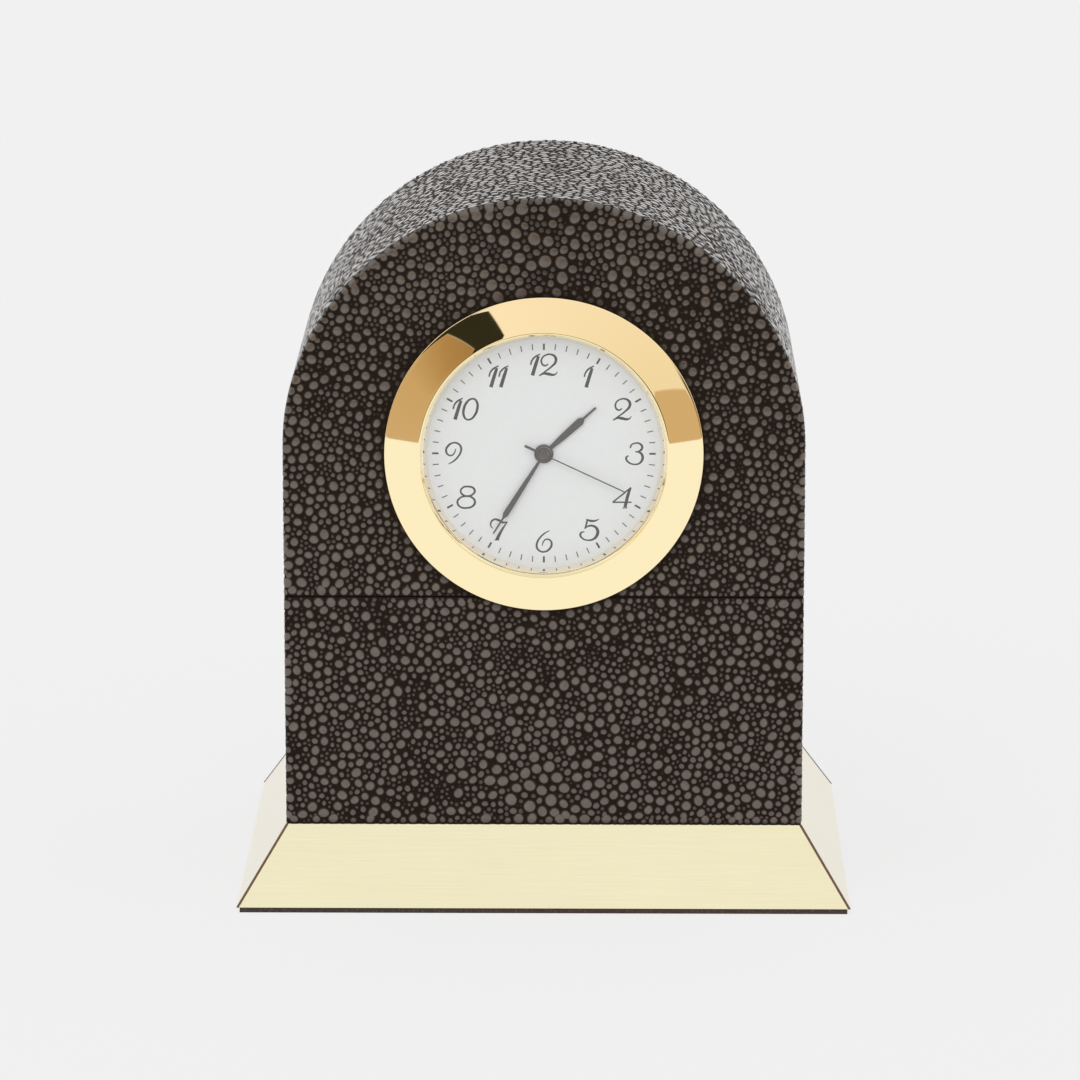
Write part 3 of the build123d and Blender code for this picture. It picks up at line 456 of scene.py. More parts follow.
def wound_copper():
    """Enamelled copper wire, wound: bright turns side by side with dark lines between them."""
    material, tree, shader = start("enamelled_copper_winding")
    place = add(tree, "ShaderNodeTexCoord")
    # The wire is 0.05 mm thick, drawn at 0.12 mm so that the turns show
    inputs = {"Vector": place.outputs["Object"], "Scale": math.pi / 10 / (0.12 * MM)}
    turns = add(tree, "ShaderNodeTexWave", inputs, wave_type="BANDS", bands_direction="X")
    tint = ramp(tree, turns.outputs["Fac"], [(0.0, linear("#4E1F0E")), (0.6, linear("#C97A4A"))])
    feed(tree, shader, {"Metallic": 0.85, "Base Color": tint, "Roughness": 0.28})
    relief(tree, shader, turns.outputs["Fac"], 0.03 * MM)
    return material


def circuit_lacquer():
    """Glass epoxy board under green solder lacquer, with raised copper tracks."""
    material, tree, shader = start("green_solder_lacquer")
    place = add(tree, "ShaderNodeTexCoord")
    turned = add(tree, "ShaderNodeMapping", {"Vector": place.outputs["Object"], "Rotation": (QUARTER, 0, 0)})
    inputs = {"Vector": turned.outputs["Vector"], "Scale": 1 / (3.0 * MM), "Mortar Size": 0.05}
    inputs.update({"Color1": linear("#0F4A2A"), "Color2": linear("#14552F"), "Mortar": linear("#2F8A4C")})
    tracks = add(tree, "ShaderNodeTexBrick", inputs)
    feed(tree, shader, {"Base Color": tracks.outputs["Color"], "Roughness": 0.25})
    relief(tree, shader, tracks.outputs["Fac"], 0.02 * MM)
    return material


# Pebbled skin


class Arch:
    """The case's outline: straight sides, two shoulder arcs and a crown arc."""

    def __init__(self, skin):
        self.offset = skin.shoulder_offset
        self.shoulder = case_half - self.offset
        self.crown = self.shoulder + skin.crown_lift / 2 + self.offset ** 2 / (2 * skin.crown_lift)
        self.spring = case_top - self.shoulder - skin.crown_lift
        self.centre = case_top - self.crown
        self.tilt = math.atan2(self.spring - self.centre, self.offset)
        self.crown_run = self.crown * (QUARTER - self.tilt)
        self.shoulder_run = self.shoulder * self.tilt
        self.half_run = self.crown_run + self.shoulder_run + self.spring - foot_level

    def inside(self, x, z):
        """How far points lie inside the outline, and its outward direction there."""
        across = np.abs(x) - self.offset
        above = z - self.spring
        turned = np.arctan2(above, across)
        straight = above <= 0
        rounded = ~straight & (turned < self.tilt)
        centre_x = np.where(rounded, self.offset, 0.0)
        centre_z = np.where(rounded, self.spring, self.centre)
        radius = np.where(rounded, self.shoulder, self.crown)
        out_x = np.where(straight, 1.0, np.abs(x) - centre_x)
        out_z = np.where(straight, 0.0, z - centre_z)
        reach = np.hypot(out_x, out_z)
        depth = np.where(straight, case_half - np.abs(x), radius - reach)
        return depth, np.sign(x) * out_x / reach, out_z / reach

    def along(self, run):
        """Places on the outline and its outward direction, at runs from the middle of the crown."""
        far = np.abs(run)
        crown_angle = QUARTER - far / self.crown
        shoulder_angle = np.maximum(self.tilt - (far - self.crown_run) / self.shoulder, 0.0)
        drop = np.maximum(far - self.crown_run - self.shoulder_run, 0.0)
        on_crown = far < self.crown_run
        angle = np.where(on_crown, crown_angle, shoulder_angle)
        radius = np.where(on_crown, self.crown, self.shoulder)
        centre_x = np.where(on_crown, 0.0, self.offset)
        centre_z = np.where(on_crown, self.centre, self.spring)
        x = centre_x + radius * np.cos(angle)
        z = centre_z + radius * np.sin(angle) - drop
        side = np.sign(run)
        return side * x, z, side * np.cos(angle), np.sin(angle)


# Pebble classes: radius, rise and tone as shares of the large ones', share of all pebbles, and corners
pebble_shares = (
    (1.0, 1.0, 1.0, 0.27, 11),
    (0.65, 0.9, 0.76, 0.3, 8),
    (0.44, 0.75, 0.46, 0.43, 6),
    (0.28, 0.6, 0.34, 0.0, 5),
)
# How much radii vary, and how near two pebbles may come, as shares of their radii
radius_spread = (0.88, 1.12)
near_share = 0.94
# Pushing apart: rounds, steps in a round, reach in large radii, and share of an overlap cleared in a step
push_rounds = 6
push_steps = 14
push_reach = 2.6
push_share = 0.35
# Filling: tries for each square of a large radius, least room in each of two passes, largest radius, and
# the radii above which a pebble belongs to the second and the third class, in large radii
fill_tries = 9
fill_floors = (0.45, 0.24)
fill_near = 0.93
fill_largest = 0.68
fill_classes = (0.56, 0.36)
# A pebble starts a little below the ground, and is a slight oval. From its foot up come a steep flank,
# a shoulder and the top's rim, each a share of its class's radius inwards and of its rise upwards
pebble_sink = 0.15
oval_shares = ((1.0, 1.1), (0.92, 1.0))
inset_shares = ((0.28, 0.62), (0.13, 0.46), (0.12, 0.06))
crown_share = 0.01
# Tones stay dark up a flank and turn pale only near the top
tone_power = 4
patch_size = 120


def scatter(half, low, high, growth, fence, skin, seed):
    """Scatter pebbles on a flat hide, let them push each other apart, and fill what gaps are left."""
    chance = random.Random(seed)
    large = skin.large_radius
    squares = sum(share * radius ** 2 for radius, rise, tone, share, corners in pebble_shares)
    wanted = int(skin.cover * 2 * half * (high - low) / (math.pi * (squares * large ** 2)))
    ranks = range(len(pebble_shares))
    weights = [share for radius, rise, tone, share, corners in pebble_shares]
    found = []
    for _ in range(wanted):
        x, z = chance.uniform(-half, half), chance.uniform(low, high)
        swell = growth(x, z)
        if chance.random() * swell ** 2 > 1:
            continue
        rank = chance.choices(ranks, weights)[0]
        found.append((x, z, large * pebble_shares[rank][0] * swell * chance.uniform(*radius_spread), rank))
    pebbles = fence(np.array(found))
    for _ in range(push_rounds):
        settle(pebbles, push_reach * large)
        pebbles = fence(pebbles)
    return fence(np.array(fill(pebbles, half, low, high, large, chance)))


def settle(pebbles, reach):
    """Push neighbours that overlap apart, a little at a time."""
    tree = KDTree(len(pebbles))
    for index, (x, z, radius, rank) in enumerate(pebbles):
        tree.insert((x, z, 0), index)
    tree.balance()
    pairs = []
    for index, (x, z, radius, rank) in enumerate(pebbles):
        pairs += [(index, other) for _, other, _ in tree.find_range((x, z, 0), reach) if other > index]
    first, second = np.array(pairs).T
    wanted = near_share * (pebbles[first, 2] + pebbles[second, 2])
    for _ in range(push_steps):
        apart = pebbles[second, :2] - pebbles[first, :2]
        distance = np.hypot(apart[:, 0], apart[:, 1]) + 0.001 * MM
        push = apart * (push_share * np.maximum(wanted - distance, 0) / distance)[:, None]
        for column in (0, 1):
            pebbles[:, column] -= np.bincount(first, push[:, column], len(pebbles))
            pebbles[:, column] += np.bincount(second, push[:, column], len(pebbles))


def fill(pebbles, half, low, high, large, chance):
    """Put a pebble, as large as fits, wherever the others leave room: the wide gaps first."""
    cell = 1.8 * large
    grid = {}
    for pebble in pebbles:
        grid.setdefault((int(pebble[0] // cell), int(pebble[1] // cell)), []).append(tuple(pebble))
    tries = int(fill_tries * half * (high - low) / large ** 2)
    for floor in [floor for floor in fill_floors for _ in range(tries)]:
        x, z = chance.uniform(-half, half), chance.uniform(low, high)
        column, row = int(x // cell), int(z // cell)
        near = (grid.get((column + i, row + j), ()) for i in (-1, 0, 1) for j in (-1, 0, 1))
        gaps = (math.hypot(x - a, z - b) - fill_near * c for group in near for a, b, c, _ in group)
        room = min(gaps, default=0)
        if room > floor * large:
            radius = min(room, fill_largest * large)
            rank = 1 + sum(radius <= share * large for share in fill_classes)
            grid.setdefault((column, row), []).append((x, z, radius, rank))
    return [pebble for group in grid.values() for pebble in group]


def pebble_patch(pebbles, skin, chance):
    """Raise a few pebbles on a flat hide: a steep flank, a soft shoulder and a low polished top each."""
    bm = bmesh.new()
    layer = bm.verts.layers.float.new("tone")
    for rank, (radius_share, rise_share, tone_share, share, corners) in enumerate(pebble_shares):
        group = [pebble for pebble in pebbles if pebble[3] == rank]
        if not group:
            continue
        faces_before = set(bm.faces)
        points_before = set(bm.verts)
        for x, z, radius, _ in group:
            place = Matrix.Translation((x, z, -pebble_sink * skin.rise))
            turn = Matrix.Rotation(chance.uniform(0, math.pi), 4, "Z")
            oval = Matrix.Diagonal([chance.uniform(*shares) for shares in oval_shares] + [1, 1])
            at = place @ turn @ oval
            bmesh.ops.create_circle(bm, cap_ends=True, radius=radius, segments=corners, matrix=at)
        tops = [face for face in bm.faces if face not in faces_before]
        typical = skin.large_radius * radius_share
        rise = skin.rise * rise_share
        for width, height in inset_shares:
            bmesh.ops.inset_individual(bm, faces=tops, thickness=width * typical, depth=height * rise)
        bmesh.ops.poke(bm, faces=tops, offset=crown_share * rise)
        for corner in bm.verts:
            if corner not in points_before:
                corner[layer] = tone_share * max(corner.co.z / rise, 0.0) ** tone_power
    return bm


def pebble_sheet(pebbles, skin, seed, stain):
    """All pebbles of a hide in one flat bmesh, made patch by patch, each point with its own tone."""
    chance = random.Random(seed)
    whole = bmesh.new()
    for first in range(0, len(pebbles), patch_size):
        bm = pebble_patch(pebbles[first:first + patch_size], skin, chance)
        sheet = bpy.data.meshes.new("patch")
        bm.to_mesh(sheet)
        bm.free()
        whole.from_mesh(sheet)
        bpy.data.meshes.remove(sheet)
    layer = whole.verts.layers.float["tone"]
    for corner in whole.verts:
        # The given function darkens the tones: painted shade round the bezel, and darker towards the foot
        corner[layer] *= 1 - stain(corner.co.x, corner.co.y)
    return whole


def trim(bm, place, outward):
    """Cut off what lies beyond a plane, and return the cut's edges."""
    geometry = bm.verts[:] + bm.edges[:] + bm.faces[:]
    made = bmesh.ops.bisect_plane(
        bm, geom=geometry, dist=0, plane_co=place, plane_no=outward, clear_outer=True
    )
    return [item for item in made["geom_cut"] if isinstance(item, bmesh.types.BMEdge)]


def lay(bm, mapping):
    """Move a flat sheet's points to where the hide lies on the case."""
    sheet = bpy.data.meshes.new("sheet")
    bm.to_mesh(sheet)
    bm.free()
    points = np.empty(len(sheet.vertices) * 3)
    sheet.vertices.foreach_get("co", points)
    sheet.vertices.foreach_set("co", mapping(*points.reshape(-1, 3).T).ravel())
    made = bmesh.new()
    made.from_mesh(sheet)
    bpy.data.meshes.remove(sheet)
    bmesh.ops.recalc_face_normals(made, faces=made.faces)
    return made


def face_hide(arch, skin, turn):
    """Mapping of a flat hide on the front face, wrapped round its edge, or turned to the back."""

    def mapping(x, z, rise):
        depth, out_x, out_z = arch.inside(x, z)
        past = np.maximum(skin.edge_radius - depth, 0.0)
        bend = np.minimum(past / skin.edge_radius, QUARTER)
        run = past - skin.edge_radius * bend
        reach = (skin.edge_radius + rise) * np.sin(bend) - past
        y = front_y + skin.edge_radius + run - (skin.edge_radius + rise) * np.cos(bend)
        return np.stack([turn * (x + out_x * reach), turn * y, z + out_z * reach], axis=1)

    return mapping


def band_hide(arch):
    """Mapping of a flat hide on the sides and the arch."""

    def mapping(run, depth, rise):
        x, z, out_x, out_z = arch.along(run)
        return np.stack([x + rise * out_x, band_low.y + depth, z + rise * out_z], axis=1)

    return mapping


# Swelling along the spine: its half width, where the top part starts and how soon it is full, the same
# for the part above the foot, and the largest swell in both
spine_width = 9 * MM
top_start, top_run, top_swell = 84 * MM, 16 * MM, 0.26
low_start, low_run, low_swell = 38 * MM, 20 * MM, 0.18
# Darkest painted darkening, reach of the darkening along the foot in widths of the bezel's painted shade, and
# what of a radius stays within a hide's edges
most_darkening = 0.85
foot_darkening_reach = 0.6
edge_share = 0.85


def spine(x, z):
    """Pebbles grow towards the spine, most at the top of the case."""
    near = math.exp(-(x / spine_width) ** 2)
    top = min(max((z - top_start) / top_run, 0), 1)
    low = min(max((low_start - z) / low_run, 0), 1)
    return 1 + near * (top_swell * top + low_swell * low)


def even(x, z):
    """Pebbles of one size all over."""
    return 1.0


class CLOCK_OT_skin(bpy.types.Operator):
    """Cover the case with pebbled ray skin in hides that meet at the level seam"""

    bl_idname = "clock.skin"
    bl_label = "Pebbled skin"

    def execute(self, context):
        skin = context.scene.clock_skin
        ground = dyed_skin_ground(skin)
        hides = ("arch_skin", "front_skin_upper", "front_skin_lower", "back_skin_upper", "back_skin_lower")
        wear(ground, *hides)
        pebbles = polished_pebbles(skin)
        arch = Arch(skin)
        self.faces(arch, skin, pebbles)
        self.band(arch, skin, pebbles)
        return {"FINISHED"}

    def faces(self, arch, skin, material):
        """Front and back hides, each in two pieces."""
        margin = skin.edge_radius * (QUARTER - 1) + skin_thickness - skin.edge_radius
        opening = bezel_radius - skin.clearance
        side = case_half + margin
        for turn, name in ((1, "front"), (-1, "back")):

            def stain(x, z):
                """Painted shade darkens the pebbles round the bezel, where its shade falls, and the pebbles
                are also darker towards the foot.
                """
                ring = (math.hypot(x - insert_axis.x, z - insert_axis.z) - bezel_radius) / skin.dye_width
                foot = (z - foot_level) / (foot_darkening_reach * skin.dye_width)
                near = min(ring if turn == 1 else 1.0, foot)
                return most_darkening * min(max(1 - near, 0.0), 1.0)

            for part, low, high in (("lower", foot_level, seam_low), ("upper", seam_high, case_top + margin)):

                def fence(pebbles):
                    """Keep pebbles whole between the hide's edges, and drop those under the bezel."""
                    reach = edge_share * pebbles[:, 2]
                    pebbles[:, 1] = pebbles[:, 1].clip(low + reach, high - reach)
                    depth, out_x, out_z = arch.inside(pebbles[:, 0], pebbles[:, 1])
                    short = np.maximum(reach - margin - depth, 0)
                    pebbles[:, 0] -= short * out_x
                    pebbles[:, 1] -= short * out_z
                    middle = np.hypot(pebbles[:, 0] - insert_axis.x, pebbles[:, 1] - insert_axis.z)
                    kept = short < 1.5 * pebbles[:, 2]
                    return pebbles[kept & (middle > opening)] if turn == 1 else pebbles[kept]

                seed = skin.seed + 2 * turn + len(part + name)
                found = scatter(side, low, high, spine, fence, skin, seed)
                bm = pebble_sheet(found, skin, skin.seed, stain)
                trim(bm, (0, low, 0), (0, -1, 0))
                trim(bm, (0, high, 0), (0, 1, 0))
                bm = lay(bm, face_hide(arch, skin, turn))
                trim(bm, (0, turn * (front_y + skin_thickness), 0), (0, turn, 0))
                piece(name + "_pebbles_" + part, bm, "case", material, math.pi)

    def band(self, arch, skin, material):
        """Band over the sides and the arch, in four pieces."""
        depth = band_high.y - band_low.y

        def fence(pebbles):
            """Keep pebbles whole between the band's edges."""
            reach = edge_share * pebbles[:, 2]
            pebbles[:, 0] = pebbles[:, 0].clip(reach - arch.half_run, arch.half_run - reach)
            pebbles[:, 1] = pebbles[:, 1].clip(reach, depth - reach)
            return pebbles

        found = scatter(arch.half_run, 0, depth, even, fence, skin, skin.seed + 5)
        names = ("left", "crown_left", "crown_right", "right")
        for index, name in enumerate(names):
            low = (index / 2 - 1) * arch.half_run
            high = low + arch.half_run / 2
            near = found[(found[:, 0] >= low) & (found[:, 0] < high)]
            bm = pebble_sheet(near, skin, skin.seed + index, lambda x, z: 0.0)
            trim(bm, (0, 0, 0), (0, -1, 0))
            trim(bm, (0, depth, 0), (0, 1, 0))
            trim(bm, (-arch.half_run, 0, 0), (-1, 0, 0))
            trim(bm, (arch.half_run, 0, 0), (1, 0, 0))
            bm = lay(bm, band_hide(arch))
            piece("arch_pebbles_" + name, bm, "case", material, math.pi)


# Case


class CLOCK_OT_block(bpy.types.Operator):
    """Give the wooden block, the plinth's core, the base pad and the wood screws their finishes"""

    bl_idname = "clock.block"
    bl_label = "Block and base"

    def execute(self, context):
        wear(planed_wood("planed_pine_block", "#8A5F3B", "#C79A6B", (1, 1, 14)), "body_core")
        wear(planed_wood("stained_pine_core", "#3E2817", "#6B4A2A", (14, 1, 1)), "plinth_core")
        wear(grained_leather(), "base_pad")
        finish(screw_rows)
        return {"FINISHED"}


class CLOCK_OT_plates(bpy.types.Operator):
    """Model the plinth's four sloping brass plates with mitred corners and eased edges"""

    bl_idname = "clock.plates"
    bl_label = "Plinth plates"

    def execute(self, context):
        brass = context.scene.clock_brass
        along_x = brushed_brass(brass, "brushed_brass_along_width", (60, 1, 1), 1.0, (1, 1, 1, 1))
        # The side plates are the same brass as the front and back. Their grey edge tint paints their grazing
        # reflection greyer and a little darker
        along_y = brushed_brass(brass, "brushed_brass_along_depth", (1, 60, 1), 0.1, (0.88, 0.87, 0.9, 1))
        sides = (("front", along_x), ("right", along_y), ("back", along_x), ("left", along_y))
        for turn, (side, brushed) in enumerate(sides):
            node = "plinth_plate_" + side
            bm = self.plate(brass, node, turn)
            made = piece("brass_plate_" + side, bm, "case", brushed, math.radians(12))
            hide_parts(node)
        wood = oiled_wood(brass)
        for side in (-1, 1):
            for end in (-1, 1):
                name = "mitre_wood_" + ("front" if end < 0 else "back") + ("_left" if side < 0 else "_right")
                piece(name, self.mitre(brass, side, end), "case", wood)
        return {"FINISHED"}

    def mitre(self, brass, side, end):
        """The core's corner: a thin rib of wood that shows in the gap between two plates."""
        low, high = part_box("plinth_plate_front")
        foot = Vector((side * (case_half + brass.overhang), end * (back_y + brass.overhang), low.z))
        top = Vector((side * case_half, end * back_y, high.z))
        inward = Vector((-side, -end, 0)).normalized()
        across = Vector((-end, side, 0)).normalized()
        bm = bmesh.new()
        bmesh.ops.create_cube(bm, size=1)
        for corner in bm.verts:
            place = foot + (top - foot) * (corner.co.z + 0.5)
            depth = brass.mitre_depth + (corner.co.y + 0.5) * brass.plate_thickness
            corner.co = place + inward * depth + across * corner.co.x * brass.mitre_gap
        bmesh.ops.recalc_face_normals(bm, faces=bm.faces)
        return bm

    def plate(self, brass, node, turn):
        """One plate: a sloping slab, cut at both mitres, with its edges eased."""
        low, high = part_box(node)
        across = Matrix.Rotation(-turn * QUARTER, 3, "Z")
        near, far = across @ Vector(low), across @ Vector(high)
        inward = brass.mitre_gap / math.sqrt(2)
        half = max(abs(near.x), abs(far.x)) + inward
        back = -max(abs(near.y), abs(far.y))
        level = brass.plate_thickness / math.cos(math.atan2(brass.overhang, high.z - low.z))
        bm = bmesh.new()
        bmesh.ops.create_grid(bm, x_segments=1, y_segments=1, size=0.5)
        slope = Vector((0, brass.overhang, high.z - low.z))
        for corner in bm.verts:
            share = corner.co.y + 0.5
            corner.co = Vector((2 * half * corner.co.x, back, low.z)) + slope * share
        made = bmesh.ops.extrude_face_region(bm, geom=bm.faces[:])
        moved = [item for item in made["geom"] if isinstance(item, bmesh.types.BMVert)]
        bmesh.ops.translate(bm, verts=moved, vec=(0, level, 0))
        for side in (-1, 1):
            edges = trim(bm, (side * (half - inward), back, 0), (side, 1, 0))
            bmesh.ops.holes_fill(bm, edges=edges, sides=0)
        bmesh.ops.recalc_face_normals(bm, faces=bm.faces)
        bmesh.ops.bevel(
            bm, geom=bm.edges[:], offset=brass.plate_bevel, affect="EDGES", segments=2, profile=0.5,
            material=-1,
        )
        bmesh.ops.rotate(bm, verts=bm.verts, cent=(0, 0, 0), matrix=Matrix.Rotation(turn * QUARTER, 3, "Z"))
        return bm


# Insert

ring_steps = 256
# The bezel's land turns in short steps until it leans inwards, and its face is hollowed in steps
land_steps = 14
land_lean = math.radians(6)
face_steps = 12
edge_start, edge_steps = -78, 8
# Its inner slope starts round, runs straight and ends upright: shares of its width and of its height
bead_shares = (
    (0.1, 0.06), (0.2, 0.16), (0.35, 0.31), (0.55, 0.51), (0.75, 0.72), (0.9, 0.87), (0.98, 0.94), (1.0, 1.0),
)
# Step above the glass, depth of the bezel's rim, thickness of its skirt, and play round the glass
lip_step = 0.05 * MM
rim_depth = 0.1 * MM
skirt_wall = 0.87 * MM
glass_play = 0.02 * MM
# Rounding of the reflector's edge at the glass
reflector_edge, reflector_steps = 0.1 * MM, 6
class CLOCK_OT_rings(bpy.types.Operator):
    """Turn the polished bezel and the reflector ring, and give the lens its glass"""

    bl_idname = "clock.rings"
    bl_label = "Bezel, reflector and lens"

    def execute(self, context):
        brass = context.scene.clock_brass
        gilt = polished_gilt("polished_gilt_brass", brass.gilt)
        bezel = piece("polished_bezel", lathe(self.bezel(brass), ring_steps), "insert", gilt)
        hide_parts("bezel")
        pale = polished_gilt("polished_pale_gilt", brass.pale_gilt)
        turned = lathe(self.reflector(brass), ring_steps)
        ring = piece("polished_reflector", turned, "insert", pale)
        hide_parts("reflector_ring")
        wear(crystal_glass(), "lens")
        return {"FINISHED"}

    def bezel(self, brass):
        """Closed profile: glass seat, inner slope, slowly turning land, hollow face, edge and skirt."""
        lip_back = lens_low.y - front_y
        outer = bezel_radius - brass.edge_radius
        fall = brass.crest_rise - brass.edge_rise
        slope = math.atan2(fall, outer - brass.opening)
        land_end = brass.opening - brass.crest_width
        # The land turns from the face's slope until it leans a little inwards
        land = [(brass.opening, -brass.crest_rise)]
        step = brass.crest_width / land_steps
        for index in range(land_steps):
            angle = slope - (slope + land_lean) * (index + 0.5) / land_steps
            radius, depth = land[-1]
            land.append((radius - step, depth - step * math.tan(angle)))
        depth = land[-1][1]
        height = lip_back - depth - lip_step
        bead = [(land_end - brass.bead_width * across, depth + height * down) for across, down in bead_shares]
        points = [(bead[-1][0], lip_back)] + bead[::-1] + land[::-1]
        for index in range(1, face_steps + 1):
            share = index / face_steps
            hollow = 4 * brass.hollow * share * (1 - share)
            radius = brass.opening + share * (outer - brass.opening)
            points.append((radius, -brass.crest_rise + fall * share + hollow))
        centre = (outer, -brass.edge_rise + brass.edge_radius)
        points += arc(centre, brass.edge_radius, edge_start, 0, edge_steps)
        skirt = lens_radius + skirt_wall
        bore = lens_radius + glass_play
        seat = bezel_high.y - front_y
        points += [(bezel_radius, -rim_depth), (skirt, -rim_depth)]
        return points + [(skirt, seat), (bore, seat), (bore, lip_back)]

    def reflector(self, brass):
        """Closed profile: a flat land behind the glass, a rounded edge and a steep wall down to the dial."""
        low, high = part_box("reflector_ring")
        glass = low.y - front_y
        dial_top = high.y - front_y
        outer = (high.x - low.x) / 2
        front, back = brass.reflector_front, brass.reflector_back
        tilt = math.degrees(math.atan2(dial_top - glass, front - back))
        centre = (front + reflector_edge, glass + reflector_edge)
        points = [(outer, glass)] + arc(centre, reflector_edge, 270, 90 + tilt, reflector_steps)
        return points + [(back, dial_top), (outer, dial_top)]


# Numerals: strokes through points of x, y and width, in thousandths of the numeral's height
stroke_points = {
    "1": (
        (10, 505, 50, 60, 690, 55, 200, 865, 60, 435, 1000, 40),
        (360, 900, 90, 250, 565, 110, 90, 30, 120),
    ),
    "2": (
        (420, 560, 30, 370, 510, 50, 250, 476, 60, 130, 595, 60, 150, 810, 55, 330, 960, 50,
         550, 985, 60, 740, 857, 90, 760, 667, 90, 570, 430, 60, 260, 190, 45, 20, 15, 40),
        (20, 15, 40, 210, 115, 75, 430, 95, 100, 640, 57, 75, 770, 105, 40, 830, 200, 25),
    ),
    "3": (
        (210, 757, 50, 257, 890, 55, 420, 980, 50, 620, 965, 60, 740, 823, 80, 686, 668, 70,
         553, 593, 50, 434, 588, 40),
        (434, 588, 40, 600, 571, 60, 740, 447, 85, 752, 248, 90, 620, 62, 60, 400, 13, 50, 155, 93, 60,
         30, 257, 65, 58, 367, 60, 140, 400, 40),
    ),
    "4": (
        (850, 976, 30, 637, 788, 55, 33, 292, 50),
        (20, 288, 50, 873, 292, 50),
        (835, 962, 60, 730, 670, 100, 580, 57, 110),
        (457, 20, 30, 684, 30, 30),
    ),
    "5": (
        (290, 972, 50, 490, 907, 80, 700, 916, 60, 870, 995, 20),
        (335, 950, 60, 280, 707, 60, 220, 544, 40),
        (210, 544, 30, 395, 670, 60, 630, 660, 75, 790, 498, 100, 777, 265, 100, 605, 65, 70,
         326, 20, 50, 107, 110, 55, 23, 250, 70, 70, 370, 60, 210, 405, 30),
    ),
    "6": (
        (618, 995, 25, 406, 877, 50, 193, 675, 60, 52, 415, 65, 52, 203, 70, 193, 47, 60, 406, 24, 55,
         618, 156, 70, 712, 377, 70, 632, 557, 55, 462, 594, 50, 335, 472, 45, 283, 292, 30),
    ),
    "7": (
        (120, 550, 30, 27, 676, 45, 54, 856, 60, 210, 970, 60, 390, 923, 80, 595, 820, 70,
         784, 856, 30),
        (752, 824, 35, 550, 518, 70, 390, 225, 100, 300, 20, 120),
        (180, 15, 30, 400, 22, 30),
    ),
    "8": (
        (160, 765, 60, 270, 953, 60, 500, 995, 60, 720, 934, 70, 790, 775, 70, 695, 634, 65,
         500, 560, 60, 270, 610, 60),
        (14, 280, 65, 130, 470, 60, 390, 554, 60, 670, 493, 65, 800, 305, 75, 720, 117, 70,
         437, 14, 60, 130, 70, 60),
    ),
}
# Numeral widths, as shares of the height, steps between two digits, and the digits drawn as closed rings
width_shares = {
    "1": 0.44, "2": 0.83, "3": 0.75, "4": 0.87, "5": 0.8,
    "6": 0.72, "7": 0.79, "8": 0.8, "9": 0.73, "0": 0.72,
}
step_shares = {"10": 0.42, "11": 0.44, "12": 0.37}
closed_digits = ("8", "0")
# Stroke width, as a share of the height, that is pressed as thin as the print
flat_share = 0.1


def nought_strokes():
    """A slanting ring with thicker flanks."""
    points = []
    for index in range(10):
        angle = 2 * math.pi * index / 10
        x = 0.36 + 0.3 * math.cos(angle) + 0.1 * math.sin(angle)
        y = 0.5 + 0.48 * math.sin(angle)
        points.append((x, y, 0.05 + 0.035 * abs(math.cos(angle))))
    return (tuple(points),)


def digit_strokes(digit):
    """Strokes of one digit: nine is six turned round, and nought is a formula."""
    if digit == "0":
        return nought_strokes()
    if digit == "9":
        wide = width_shares[digit]
        return [[(wide - x, 1 - y, w) for x, y, w in stroke] for stroke in digit_strokes("6")]
    return [
        [tuple(part / 1000 for part in stroke[first:first + 3]) for first in range(0, len(stroke), 3)]
        for stroke in stroke_points[digit]
    ]


